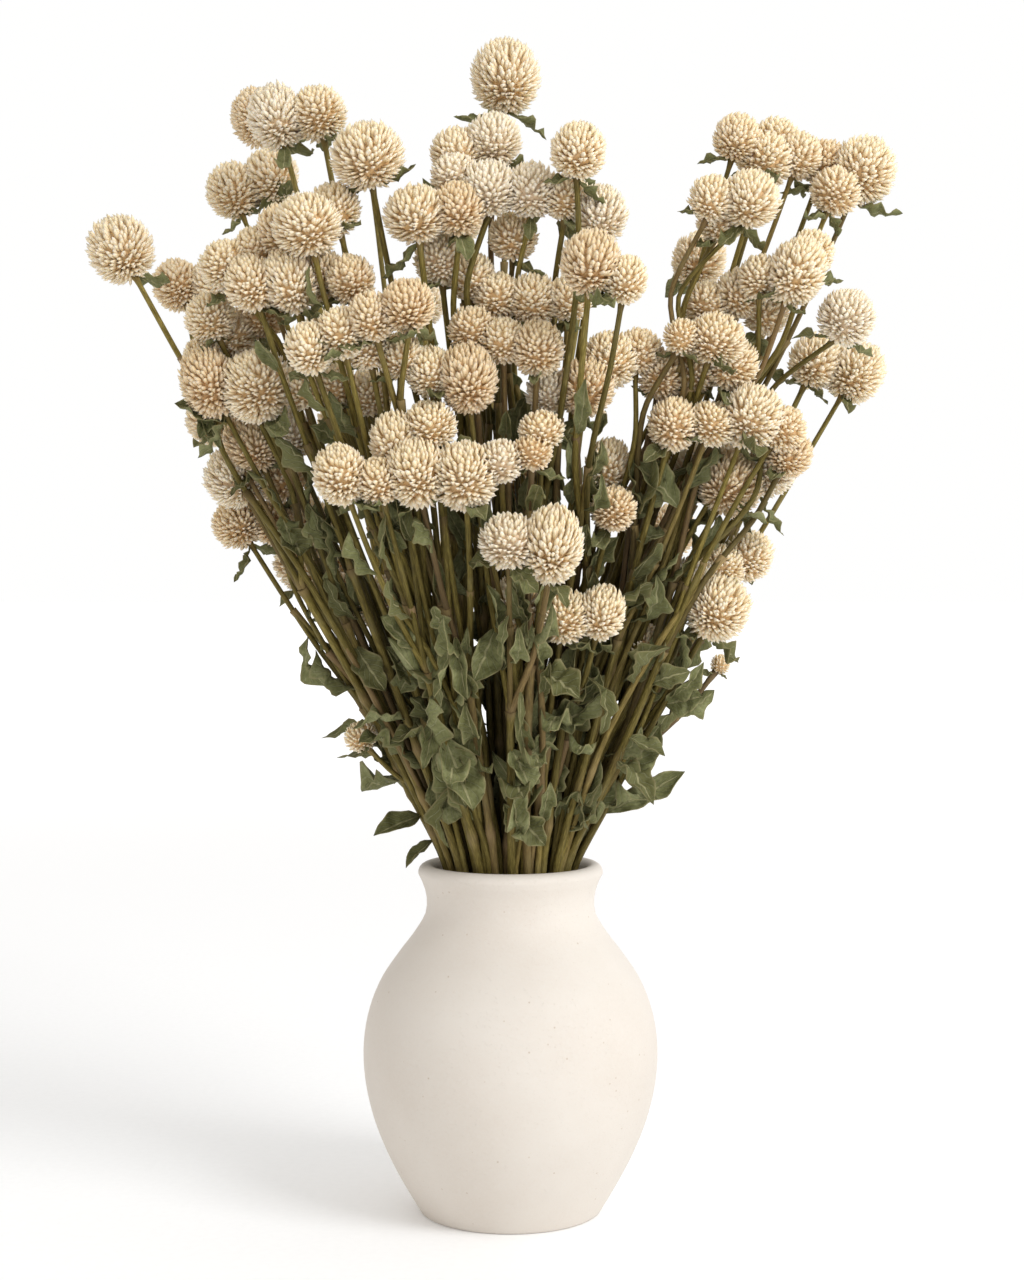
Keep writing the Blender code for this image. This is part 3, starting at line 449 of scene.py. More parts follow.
def part_crossing_runs(move, points, a, b, rows, columns, need):
    """Adds the moves that part runs where they come too near."""
    middle, reach = (points[a] + points[b]) / 2, np.linalg.norm(points[b] - points[a], axis=1) / 2
    close = np.linalg.norm(middle[rows] - middle[columns], axis=1) < reach[rows] + reach[columns] + need
    rows, columns, need = rows[close], columns[close], need[close]
    s, t = nearest_on_runs(points[a[rows]], points[b[rows]], points[a[columns]], points[b[columns]])
    near = between(points[a[rows]], points[b[rows]], s[:, None])
    gap = between(points[a[columns]], points[b[columns]], t[:, None]) - near
    distance = np.maximum(np.linalg.norm(gap, axis=1), 1e-6)
    hit = distance < need
    push = (gap / distance[:, None] * (need - distance)[:, None] * 0.5)[hit]
    sides = ((a[rows], s - 1), (b[rows], -s), (a[columns], 1 - t), (b[columns], t))
    for index, weight in sides:
        np.add.at(move, index[hit], push * weight[hit][:, None])


def part_runs_from_blooms(move, points, a, b, radius, other, centres, half, axes):
    """Adds the moves that take runs out of the blooms that they pass."""
    along = points[b] - points[a]
    to = centres[None, :] - points[a][:, None]
    share = np.clip((to * along[:, None]).sum(-1) / np.maximum((along * along).sum(-1), 1e-6)[:, None], 0, 1)
    away = points[a][:, None] + along[:, None] * share[..., None] - centres[None, :]
    far_off = np.maximum(np.linalg.norm(away, axis=2), 1e-6)
    away = away / far_off[..., None]
    room = reach_along(half[None, :], axes[None, :], away) + radius[:, None] + STEM_GAP
    inside = np.where(other, np.maximum(room - far_off, 0), 0)
    shove = away * inside[..., None]
    np.add.at(move, a, (shove * (1 - share)[..., None]).sum(axis=1))
    np.add.at(move, b, (shove * share[..., None]).sum(axis=1))
    caught = (inside > 0).sum(axis=1) > 1
    side = np.sign((away[..., 1] * inside).sum(axis=1) + 1e-9)
    escape = np.where(caught, 0.4 * inside.max(axis=1) * side, 0)
    move[:, 1] += np.bincount(a, escape, len(points)) + np.bincount(b, escape, len(points))


def clear_stems(routes, centres, half, axes, steps=200):
    """Bends the stems until they are clear of each other, of the blooms and of the vase's neck."""
    start = np.array(routes.points)
    points = start.copy()
    a, b, radius, own = (np.array([run[i] for run in routes.runs]) for i in (0, 1, 2, 4))
    rows, columns = np.triu_indices(len(a), 1)
    joined = (a[rows] == a[columns]) | (b[rows] == a[columns]) | (a[rows] == b[columns])
    rows, columns = rows[~joined], columns[~joined]
    need = radius[rows] + radius[columns] + STEM_GAP
    other = own[:, None] != np.arange(len(centres))[None, :]
    free = (~np.array(routes.still))[:, None]
    rims = np.isclose(start[:, 2], RIM_HEIGHT)
    for step in range(steps):
        move = np.zeros_like(points)
        part_crossing_runs(move, points, a, b, rows, columns, need)
        part_runs_from_blooms(move, points, a, b, radius, other, centres, half, axes)
        pull = 0.01 * (start - points) if step < steps * 0.7 else 0
        points = points + (0.7 * np.clip(move, -3, 3) + pull) * free
        points[rims, 2] = RIM_HEIGHT
        out = np.linalg.norm(points[rims, :2], axis=1) / RIM_REACH
        points[rims, :2] /= np.maximum(out, 1)[:, None]
    routes.points = list(points)

# %% Route them
routes = route_stems(centres, half, axes)
clear_stems(routes, centres, half, axes)
print("stems:", len(routes.stems), "twigs:", len(routes.twigs))

# %% [markdown]
# ## Where the leaves grow
# Globe amaranth has its leaves in opposite pairs at the joints. A leaf is laid out as a rib with two edges, and it
# stays only where it is clear of the stems, blooms and leaves that are already there.

# %% Leaf layout
# Leaves, in millimetres
LEAF_SEED = 7
LEAF_THICKNESS = 1.3
LEAF_STATIONS = ((0.28, 0.85), (0.58, 1.0), (0.84, 0.55))
LEAF_ROOM = 1.9
LEAF_TO_LEAF = 3.5
LEAF_MOST = 32


def leaf_frame(direction, droop):
    """Direction, sideways and upward unit vectors of a leaf that leaves a stem."""
    forward = np.array([direction[0], direction[1], direction[2] - droop])
    forward = forward / np.linalg.norm(forward)
    sideways = np.cross(forward, [0.0, 0.0, 1.0])
    sideways = sideways / max(np.linalg.norm(sideways), 1e-6)
    return forward, sideways, np.cross(sideways, forward)


def leaf_points(root, direction, length, width, droop, wave):
    """Rib points and left and right edge points of a leaf, which bends down towards its tip."""
    forward, sideways, upward = leaf_frame(direction, droop)
    rib, left, right = [root], [], []
    for place, (share, spread) in enumerate(LEAF_STATIONS):
        spot = root + forward * length * share - np.array([0, 0, 1]) * length * 0.35 * share**2
        lift = upward * width * 0.5 * spread * (0.45 + (wave if place % 2 else -wave))
        rib.append(spot)
        left.append(spot + sideways * width * 0.5 * spread + lift)
        right.append(spot - sideways * width * 0.5 * spread + lift * 0.7)
    rib.append(root + forward * length - np.array([0, 0, 1]) * length * 0.35)
    return np.array(rib), np.array(left), np.array(right)


def leaf_samples(rib, left, right):
    """Points spread over a leaf, to measure how clear it is."""
    samples = [between(rib[i], rib[i + 1], share) for i in range(4) for share in (0.25, 0.5, 0.75, 1)]
    for edge in (left, right):
        whole = [rib[0], *edge, rib[-1]]
        samples += [between(whole[i], whole[i + 1], share) for i in range(4) for share in (0.25, 0.5, 0.75, 1)]
        samples += [between(rib[i + 1], edge[i], 0.5) for i in range(3)]
    return np.array(samples[1:])


def leaf_is_clear(samples, joint, routes, centres, half, axes, taken):
    """Whether a leaf's points are clear of all runs but those at its own joint, of blooms, leaves and the vase."""
    near_vase = (samples[:, 2] < RIM_HEIGHT + 3) & (np.hypot(samples[:, 0], samples[:, 1]) > RIM_REACH - 2)
    if near_vase.any():
        return False
    away = samples[:, None] - centres[None, :]
    far_off = np.linalg.norm(away, axis=2)
    bloom_gap = far_off - reach_along(half[None, :], axes[None, :], away / far_off[..., None])
    if bloom_gap.min() <= LEAF_THICKNESS:
        return False
    if taken:
        leaf_gap = np.linalg.norm(samples[:, None] - np.concatenate(taken)[None, :], axis=2)
        if leaf_gap.min() <= LEAF_TO_LEAF:
            return False
    points = np.array(routes.points)
    keep = [run for run in routes.runs if joint not in run[:2]]
    a, b = points[[run[0] for run in keep]], points[[run[1] for run in keep]]
    along = b - a
    to = samples[:, None] - a[None, :]
    share = np.clip((to * along[None]).sum(-1) / (along * along).sum(-1)[None], 0, 1)
    gap = np.linalg.norm(to - along[None] * share[..., None], axis=2) - np.array([run[2] for run in keep])
    return gap.min() > LEAF_ROOM


def place_leaves(routes, centres, half, axes):
    """Opposite leaves at the stems' joints, larger low down, each where it is clear."""
    chance = random.Random(LEAF_SEED)
    leaves, taken = [], []
    spots = [(plant, route[place]) for place in (2, 3) for plant, route in routes.stems]
    spots += [(plant, route[1]) for plant, route, _ in routes.twigs if len(route) > 3]
    for plant, index in spots:
        root = routes.points[index]
        turn = chance.uniform(0, 2 * math.pi)
        for half_turn in (0, math.pi):
            for attempt in range(10 if len(leaves) < LEAF_MOST else 0):
                angle = turn + half_turn + attempt * 0.63
                low = min(max((330 - root[2]) / 160, 0), 1)
                length = (18 + 18 * low) * chance.uniform(0.8, 1.15) * (1 - 0.05 * attempt)
                width = length * chance.uniform(0.34, 0.46)
                direction = np.array([math.cos(angle), math.sin(angle), chance.uniform(0.2, 0.9)])
                shape = leaf_points(root, direction, length, width, chance.uniform(0, 0.5), 0.4)
                samples = leaf_samples(*shape)
                if leaf_is_clear(samples[3:], index, routes, centres, half, axes, taken):
                    leaves.append((plant, shape))
                    taken.append(samples[2:])
                    break
    return leaves

# %% Place them
leaves = place_leaves(routes, centres, half, axes)
print("leaves at the joints:", len(leaves))


# %% [markdown]
# ## Writing materials as sums
# A finish is mostly arithmetic on noise. `Value` wraps one socket, so that `1 - mask * 0.3` adds the Math nodes
# by itself, and `Look.add` makes every other node from its type, its settings and what goes into its sockets.

# %% Shader helpers
class Value:
    """One socket of a material, with the usual operators."""

    def __init__(self, look, socket):
        self.look = look
        self.socket = socket

    def __add__(self, other):
        return self.look.maths("ADD", self, other)

    def __sub__(self, other):
        return self.look.maths("SUBTRACT", self, other)

    def __rsub__(self, other):
        return self.look.maths("SUBTRACT", other, self)

    def __mul__(self, other):
        return self.look.maths("MULTIPLY", self, other)

    def __pow__(self, other):
        return self.look.maths("POWER", self, other)

    __radd__ = __add__
    __rmul__ = __mul__


class Look:
    """A material that is being made: a Principled shader and the nodes that feed it."""

    def __init__(self, name, roughness):
        self.material = bpy.data.materials.new(name)
        self.material.use_nodes = True
        self.tree = self.material.node_tree
        self.shader = self.tree.nodes["Principled BSDF"]
        self.shader.inputs["Roughness"].default_value = roughness

    def add(self, kind, settings, sockets):
        """A node of a type, with its settings first and then the values or links of its sockets."""
        node = self.tree.nodes.new("ShaderNode" + kind)
        for name, setting in settings.items():
            if name == "stops":
                self.set_stops(node.color_ramp, setting)
            else:
                setattr(node, name, setting)
        for name, value in sockets.items():
            self.plug(node.inputs[name], value)
        return node

    def set_stops(self, ramp, stops):
        for place, colour in stops[2:]:
            ramp.elements.new(place)
        for element, (place, colour) in zip(ramp.elements, stops):
            element.position = place
            element.color = (*colour, 1)

    def plug(self, socket, value):
        if isinstance(value, Value):
            self.tree.links.new(value.socket, socket)
        else:
            socket.default_value = value

    def maths(self, operation, *terms, clamp=False):
        node = self.add("Math", {"operation": operation, "use_clamp": clamp}, dict(enumerate(terms)))
        return Value(self, node.outputs[0])

    def ramp(self, factor, stops):
        return Value(self, self.add("ValToRGB", {"stops": stops}, {"Fac": factor}).outputs["Color"])

    def step(self, value, low, high):
        """0 below low, 1 above high, and smooth between."""
        settings = {"interpolation_type": "SMOOTHSTEP"}
        node = self.add("MapRange", settings, {"Value": value, "From Min": low, "From Max": high})
        return Value(self, node.outputs["Result"])

    def mix(self, factor, first, second, blend="MIX"):
        """Two colours mixed. A plain colour is three numbers."""
        node = self.tree.nodes.new("ShaderNodeMix")
        node.data_type = "RGBA"
        node.blend_type = blend
        self.plug(node.inputs[0], factor)
        for socket, colour in ((node.inputs[6], first), (node.inputs[7], second)):
            self.plug(socket, colour if isinstance(colour, Value) else (*colour, 1))
        return Value(self, node.outputs[2])

    def place(self, scale=(1, 1, 1)):
        """Where a point of the surface is, in metres, stretched by a scale."""
        where = self.add("TexCoord", {}, {}).outputs["Object"]
        node = self.add("VectorMath", {"operation": "MULTIPLY"}, {0: Value(self, where), 1: scale})
        return Value(self, node.outputs[0])

    def noise(self, where, scale, detail=3.0, rough=0.5):
        node = self.add("TexNoise", {}, {"Vector": where, "Scale": scale, "Detail": detail, "Roughness": rough})
        return Value(self, node.outputs[0])

    def tint(self, name):
        """The four numbers that a mesh holds for each point: three channels and the alpha."""
        node = self.add("Attribute", {"attribute_name": name}, {})
        split = self.add("SeparateColor", {}, {"Color": Value(self, node.outputs["Color"])})
        return [Value(self, socket) for socket in (*split.outputs, node.outputs["Alpha"])]

    def colour(self, value):
        self.plug(self.shader.inputs["Base Color"], value)

    def rough(self, value):
        self.plug(self.shader.inputs["Roughness"], value)

    def bump(self, height, distance, strength=1.0):
        """Relief from a height of 0 to 1, with a depth in metres."""
        node = self.add("Bump", {}, {"Height": height, "Distance": distance, "Strength": strength})
        self.plug(self.shader.inputs["Normal"], Value(self, node.outputs["Normal"]))


print("shader helpers ready")

# %% [markdown]
# ## Dry bracts
# A head has no petals. It is a ball of papery, pointed bracts, pale at the tip, straw-coloured along their length
# and brown where they are attached, so the gaps between them look dark. Each point of the mesh says how far along
# its bract it lies, and the colour follows that. The crown of a head stays yellower, and heads differ in age.

# %% Bract material
def bract_look():
    look = Look("dry papery bracts", 0.62)
    along, chance, crown, age = look.tint("bract")
    tone = look.ramp(along, [
        (0.0, (0.60, 0.37, 0.16)), (0.34, (0.78, 0.54, 0.28)), (0.56, (0.92, 0.72, 0.45)),
        (0.84, (0.96, 0.81, 0.585)), (1.0, (0.965, 0.88, 0.73)),
    ])
    tone = look.mix(look.step(crown, 0.60, 1.0) * 0.45, tone, (0.97, 0.77, 0.45))
    tone = look.mix(look.step(age, 0.62, 1.0) * 0.50, tone, (0.76, 0.62, 0.48), "MULTIPLY")
    tone = look.mix((1 - look.step(age, 0.0, 0.30)) * 0.35, tone, (0.95, 0.91, 0.83))
    tone = look.mix(look.step(chance, 0.80, 1.0) * 0.30, tone, (0.80, 0.62, 0.35))
    fibres = look.noise(look.place((900, 900, 900)), 1.0, 2.0)
    shade = look.ramp(fibres * 0.5 + chance * 0.5, [(0.15, (0.84, 0.82, 0.78)), (0.65, (1.0, 1.0, 1.0))])
    look.colour(look.mix(1.0, tone, shade, "MULTIPLY"))
    look.rough(0.50 + 0.25 * fibres)
    look.bump(fibres, 0.00012)
    look.shader.inputs["Subsurface Weight"].default_value = 0.15
    look.shader.inputs["Subsurface Radius"].default_value = (0.003, 0.002, 0.001)
    look.shader.inputs["Subsurface Scale"].default_value = 1.0
    return look.material


BRACTS = bract_look()
print("made", BRACTS.name)

# %% [markdown]
# ## Dry stems and leaves
# The stems are olive to khaki with fine ridges along them, browner at the joints, and some are reddish. The leaves
# are grey-green, with a pale midrib, side veins that sink between puckered cells, and brown edges. Low in the
# middle of the bunch both get a painted shade, for the light that hardly reaches there.

# %% Stem and leaf materials
# Painted shade: how wide the darkened middle of the bunch is at its foot, how it widens upward, the heights where it
# fades out, and its colour
BUNCH_FOOT = (0.034, 0.025)
BUNCH_SPREAD = (0.62, 0.44)
BUNCH_HEIGHTS = (0.14, 0.36)
DEEP_SHADE = (0.16, 0.15, 0.14)


def painted_shade_inside(look, tone):
    """The tone with a painted shade: darker towards the middle of the bunch low down, where stems get little light."""
    parts = look.add("SeparateXYZ", {}, {"Vector": look.place()}).outputs
    across, back, up = (Value(look, part) for part in parts)
    shares = []
    for off, foot, spread in zip((across, back), BUNCH_FOOT, BUNCH_SPREAD):
        reach = foot + (up - BUNCH_HEIGHTS[0]) * spread
        shares.append(look.maths("DIVIDE", off, look.maths("MAXIMUM", reach, foot)))
    out = (shares[0] * shares[0] + shares[1] * shares[1]) ** 0.5
    light = look.maths("MAXIMUM", look.step(out, 0.42, 1.05), look.step(up, *BUNCH_HEIGHTS))
    return look.mix(light, look.mix(1.0, tone, DEEP_SHADE, "MULTIPLY"), tone)


def stem_look():
    look = Look("dry ridged stems", 0.7)
    around, along, chance, joint = look.tint("stem")
    streaks = look.add("CombineXYZ", {}, {"X": around * 9.0, "Y": along * 14.0, "Z": chance * 40.0})
    fibres = look.noise(Value(look, streaks.outputs[0]), 1.0, 4.0, 0.6)
    patches = look.noise(look.place(), 70.0, 3.0)
    tone = look.ramp(fibres, [
        (0.25, (0.075, 0.058, 0.012)), (0.5, (0.175, 0.135, 0.030)), (0.72, (0.34, 0.265, 0.075)),
    ])
    tone = look.mix(look.step(chance, 0.70, 1.0) * 0.60, tone, (0.20, 0.115, 0.070))
    tone = look.mix(look.step(patches, 0.55, 0.75) * 0.35, tone, (0.30, 0.25, 0.11))
    tone = look.mix(joint * 0.5, tone, (0.34, 0.23, 0.12))
    shade = look.ramp(look.maths("FRACT", chance * 7.3), [(0.0, (0.60, 0.60, 0.60)), (1.0, (1.25, 1.25, 1.25))])
    # Painted shade darkens the stems low in the middle of the bunch
    look.colour(painted_shade_inside(look, look.mix(1.0, tone, shade, "MULTIPLY")))
    look.rough(0.52 + 0.3 * fibres)
    look.bump(fibres, 0.0003)
    look.shader.inputs["Specular IOR Level"].default_value = 0.2
    return look.material


def leaf_look():
    look = Look("dry veined leaves", 0.75)
    along, across, chance, side = look.tint("leaf")
    veins = look.maths("SINE", (along * 8.0 - across * 2.4) * (2 * math.pi))
    veins = look.step(veins, 0.72, 1.0) * (1 - look.step(across, 0.75, 1.0))
    rib = 1 - look.step(across, 0.04, 0.12)
    cells = look.noise(look.place(), 700.0, 3.0)
    patches = look.noise(look.place(), 90.0, 3.0)
    tone = look.ramp(patches * 0.6 + cells * 0.4, [
        (0.3, (0.100, 0.105, 0.035)), (0.5, (0.180, 0.185, 0.075)), (0.68, (0.29, 0.295, 0.145)),
    ])
    tone = look.mix(look.step(chance, 0.35, 0.9) * 0.65, tone, (0.095, 0.090, 0.028))
    tone = look.mix(veins * 0.30, tone, (0.33, 0.33, 0.19))
    tone = look.mix(rib * 0.65, tone, (0.42, 0.39, 0.21))
    tone = look.mix(look.step(across, 0.86, 1.0) * 0.40, tone, (0.33, 0.27, 0.14))
    # Painted shade darkens the leaves low in the middle of the bunch
    look.colour(painted_shade_inside(look, tone))
    look.rough(0.62 + 0.2 * cells)
    look.shader.inputs["Specular IOR Level"].default_value = 0.2
    look.bump(cells * 0.6 - veins * 0.5 - rib * 0.5, 0.0004)
    return look.material


STEMS = stem_look()
LEAVES = leaf_look()
print("made", STEMS.name, "and", LEAVES.name)

# %% [markdown]
# ## Stoneware
# The vase is unglazed or very matt: a warm off-white body, a little cloudy, with sparse iron specks, a few pale
# pits and the faint rings that a potter's fingers leave.

# %% Stoneware material
def stoneware_look():
    look = Look("matt speckled stoneware", 0.7)
    clouds = look.noise(look.place(), 22.0, 4.0)
    grain = look.noise(look.place(), 900.0, 3.0)
    specks = look.add("TexVoronoi", {"feature": "F1"}, {"Vector": look.place(), "Scale": 420.0})
    near = Value(look, specks.outputs["Distance"])
    pick = look.add("SeparateColor", {}, {"Color": Value(look, specks.outputs["Color"])})
    chosen = look.step(Value(look, pick.outputs[0]), 0.93, 0.96)
    speck = (1 - look.step(near, 0.08, 0.22)) * chosen
    pits = look.add("TexVoronoi", {"feature": "F1"}, {"Vector": look.place(), "Scale": 900.0})
    pit = 1 - look.step(Value(look, pits.outputs["Distance"]), 0.05, 0.20)
    rings = look.noise(look.place((3, 3, 260)), 1.0, 2.0)
    tone = look.ramp(clouds, [(0.3, (0.67, 0.605, 0.535)), (0.7, (0.72, 0.665, 0.60))])
    tone = look.mix(look.step(grain, 0.35, 0.8) * 0.25, tone, (0.72, 0.69, 0.64))
    tone = look.mix(pit * 0.15, tone, (0.50, 0.43, 0.35))
    tone = look.mix(speck * 0.50, tone, (0.42, 0.30, 0.19))
    look.colour(tone)
    look.rough(0.58 + 0.2 * clouds)
    look.bump(0.45 + rings * 0.3 + grain * 0.12 - pit * 0.4, 0.0003)
    return look.material


STONEWARE = stoneware_look()
print("made", STONEWARE.name)

# %% [markdown]
# ## From numbers to meshes
# Hundreds of bracts and thousands of rings are quick to work out as NumPy arrays. One function turns points,
# triangles and tints into an object, and says which solid of the model it stands for.

# %% Mesh helpers
TRIANGLES = []


class Bundle:
    """Points in millimetres, triangles and tints, gathered before they become one mesh."""

    def __init__(self):
        self.points, self.triangles, self.slots, self.tints = [], [], [], []
        self.count = 0

    def add(self, points, triangles, tint, slot=0):
        self.points.append(points)
        self.triangles.append(np.asarray(triangles) + self.count)
        self.slots.append(np.full(len(triangles), slot))
        self.tints.append(tint)
        self.count += len(points)


def piece_from(bundle, name, looks, tint_names, node):
    """An object from a bundle. It stands for a solid of the model and rides on its body."""
    points = np.concatenate(bundle.points).astype(np.float32) * MM
    triangles = np.concatenate(bundle.triangles).astype(np.int32)
    mesh = bpy.data.meshes.new(name)
    mesh.vertices.add(len(points))
    mesh.vertices.foreach_set("co", points.ravel())
    mesh.loops.add(triangles.size)
    mesh.loops.foreach_set("vertex_index", triangles.ravel())
    mesh.polygons.add(len(triangles))
    mesh.polygons.foreach_set("loop_start", np.arange(0, triangles.size, 3, dtype=np.int32))
    mesh.polygons.foreach_set("material_index", np.concatenate(bundle.slots).astype(np.int32))
    tint = np.concatenate(bundle.tints).astype(np.float32)
    for tint_name in tint_names:
        layer = mesh.attributes.new(tint_name, "FLOAT_COLOR", "POINT")
        layer.data.foreach_set("color", tint.ravel())
    for look in looks:
        mesh.materials.append(look)
    mesh.update(calc_edges=True)
    mesh.shade_smooth()
    piece = bpy.data.objects.new(name, mesh)
    bpy.context.scene.collection.objects.link(piece)
    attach(piece, "root")
    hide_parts(node)
    TRIANGLES.append(len(triangles))
    return piece


def unit(vectors):
    return vectors / np.maximum(np.linalg.norm(vectors, axis=-1, keepdims=True), 1e-9)


def frame_about(axis):
    """Two unit vectors square to an axis, and the axis."""
    axis = unit(np.asarray(axis, float))
    side = np.cross([0.0, 1.0, 0.0], axis)
    if np.linalg.norm(side) < 0.1:
        side = np.cross([1.0, 0.0, 0.0], axis)
    side = unit(side)
    return side, np.cross(axis, side), axis


print("mesh helpers ready")

# %% [markdown]
# ## Bloom heads
# A sunflower's rule sets the bracts: each is turned 137.5 degrees from the one before, from the stem to the crown.
# A bract is a slim, keeled grain that starts deep in the head, swells outward and leans up to a free, blunt tip.
# Two rings of three points with a point at each end are enough at this size. A brown core closes the gaps.

# %% Bract heads
HEAD_SEED = 11
GOLDEN_ANGLE = math.radians(137.508)
BRACT_AREA = 3.7
FEWEST_BRACTS = 90
BRACT_WIDTH = 2.15
LOWEST_BRACT = -0.96
KEEL = 0.40
CORE_SHARE = 0.80
CORE_SIDES = 12
CORE_RINGS = 7
RING_PLACES = ((0.56, 1.0), (0.84, 0.76))
BRACT_ALONG = (0.0, 0.56, 0.56, 0.56, 0.84, 0.84, 0.84, 1.0)


def bract_triangles():
    """The corners of one bract: its root, two rings of three and its tip."""
    found = []
    for i in range(3):
        j = (i + 1) % 3
        found += [(0, 1 + j, 1 + i), (1 + i, 1 + j, 4 + j), (1 + i, 4 + j, 4 + i), (4 + i, 4 + j, 7)]
    return np.array(found)


def core_ball():
    """Points and triangles of a ball of radius 1, as a core for each head."""
    points = [(0.0, 0.0, -1.0)]
    for ring in range(1, CORE_RINGS):
        polar = math.pi * (1 - ring / CORE_RINGS)
        for i in range(CORE_SIDES):
            turn = 2 * math.pi * i / CORE_SIDES
            points.append((math.sin(polar) * math.cos(turn), math.sin(polar) * math.sin(turn), math.cos(polar)))
    points.append((0.0, 0.0, 1.0))
    found = []
    top = len(points) - 1
    for i in range(CORE_SIDES):
        j = (i + 1) % CORE_SIDES
        found += [(0, 1 + j, 1 + i), (top - CORE_SIDES + i, top - CORE_SIDES + j, top)]
        for ring in range(CORE_RINGS - 2):
            low = 1 + ring * CORE_SIDES
            found += [(low + i, low + j, low + CORE_SIDES + j), (low + i, low + CORE_SIDES + j, low + CORE_SIDES + i)]
    return np.array(points), np.array(found)


def on_ball(polar, turn, reach):
    spot = np.stack([np.sin(polar) * np.cos(turn), np.sin(polar) * np.sin(turn), np.cos(polar)], axis=1)
    return spot * reach[:, None]


def add_head(bundle, centre, size, axis, chance):
    """One bloom head: its core and its bracts, in a bundle."""
    side, front, up = frame_about(axis)
    turned = np.stack([side * size[0], front * size[0], up * size[1]])
    count = max(FEWEST_BRACTS, int(4 * math.pi * size[0] * size[1] / BRACT_AREA))
    height = LOWEST_BRACT + (0.997 - LOWEST_BRACT) * (np.arange(count) + 0.5) / count
    polar = np.clip(np.arccos(height) + chance.normal(0, 0.04, count), 0.02, 3.0)
    turn = np.arange(count) * GOLDEN_ANGLE + chance.normal(0, 0.06, count)
    reach = 1 + chance.normal(0, 0.03, count)
    loose = chance.uniform(0.4, 1.2)
    root = on_ball(np.minimum(polar + 0.42 * loose, 3.05), turn, 0.46 * reach)
    knee = on_ball(np.minimum(polar + 0.17 * loose, 3.05), turn, 0.84 * reach)
    tip = on_ball(polar - 0.05, turn + chance.normal(0, 0.03, count), 1.09 * reach)
    across = np.stack([-np.sin(turn), np.cos(turn), np.zeros(count)], axis=1)
    width = BRACT_WIDTH / size[0] * min(1.0, size[0] / 8.0) * chance.uniform(0.82, 1.14, count)
    points = np.empty((count, 8, 3))
    points[:, 0] = root
    points[:, 7] = tip
    for ring, (share, spread) in enumerate(RING_PLACES):
        spot = root * (1 - share) ** 2 + knee * 2 * share * (1 - share) + tip * share**2
        along = unit((knee - root) * (1 - share) + (tip - knee) * share)
        outward = -np.cross(along, across)
        span = width[:, None] * spread
        points[:, 1 + 3 * ring] = spot - across * span * 0.5 - outward * span * 0.12
        points[:, 2 + 3 * ring] = spot + outward * span * KEEL
        points[:, 3 + 3 * ring] = spot + across * span * 0.5 - outward * span * 0.12
    age = chance.uniform(0, 1)
    tint = np.empty((count, 8, 4))
    tint[..., 0] = np.array(BRACT_ALONG)
    tint[..., 1] = chance.uniform(0, 1, count)[:, None]
    tint[..., 2] = (height * 0.5 + 0.5)[:, None]
    tint[..., 3] = age
    corners = bract_triangles()[None] + 8 * np.arange(count)[:, None, None]
    bundle.add(points.reshape(-1, 3) @ turned + centre, corners.reshape(-1, 3), tint.reshape(-1, 4))
    ball, ball_triangles = core_ball()
    core_tint = np.tile([0.22, 0.5, 0.3, age], (len(ball), 1))
    bundle.add(ball * CORE_SHARE @ turned + centre, ball_triangles, core_tint)
    return count


def make_heads():
    """A piece for each solid of touching blooms, named and numbered as the model names them."""
    bracts = 0
    for number, label in enumerate(sorted(set(cluster), key=lambda one: list(cluster).index(one)), 1):
        members = [i for i in range(len(centres)) if cluster[i] == label]
        node = ("bloom_" if len(members) == 1 else "bloom_cluster_") + f"{number:02d}"
        bundle = Bundle()
        for i in members:
            chance = np.random.RandomState(HEAD_SEED + i)
            bracts += add_head(bundle, centres[i], half[i], axes[i], chance)
        piece_from(bundle, node + "_bracts", [BRACTS], ["bract"], node)
    return bracts


print("bracts:", make_heads())

# %% [markdown]
# ## Smooth curves and round stems
# The routes are straight runs between a few points. A smooth curve through them bends as a stem does, and a tube
# of eight sides with shallow ridges follows it. It swells at each joint and flares into the seat under a bloom.

# %% Stems
STEM_SEED = 21
STEM_SIDES = 8
SHOOT_SIDES = 6
STEM_STEP = 5.0
STEM_SLACK = 0.8
STEM_THICK = 1.45
TWIG_THICK = 1.08
RIDGE = 0.07
JOINT_SPACING = 62.0
JOINT_REACH = 2.6
JOINT_SWELL = 0.42


def smooth_through(knots, points, at, slack=1.0):
    """Points of a smooth curve through some points, at chosen places along their knots; less slack runs straighter."""
    knots, points, at = np.asarray(knots, float), np.asarray(points, float), np.asarray(at, float)
    slope = np.gradient(points, knots, axis=0) * slack
    run = np.clip(np.searchsorted(knots, at, side="right") - 1, 0, len(knots) - 2)
    span = (knots[run + 1] - knots[run])[:, None]
    s = (at - knots[run])[:, None] / span
    start, end = points[run], points[run + 1]
    leave, arrive = slope[run] * span, slope[run + 1] * span
    return (start * (2 * s**3 - 3 * s**2 + 1) + leave * (s**3 - 2 * s**2 + s)
            + end * (3 * s**2 - 2 * s**3) + arrive * (s**3 - s**2))


def stem_curve(points):
    """A smooth curve through a stem's points, sampled about every few millimetres, and its length at each."""
    points = np.asarray(points, float)
    knots = np.concatenate([[0], np.cumsum(np.linalg.norm(np.diff(points, axis=0), axis=1))])
    at = np.linspace(0, knots[-1], max(4, int(knots[-1] / STEM_STEP)))
    return smooth_through(knots, points, at, STEM_SLACK), at


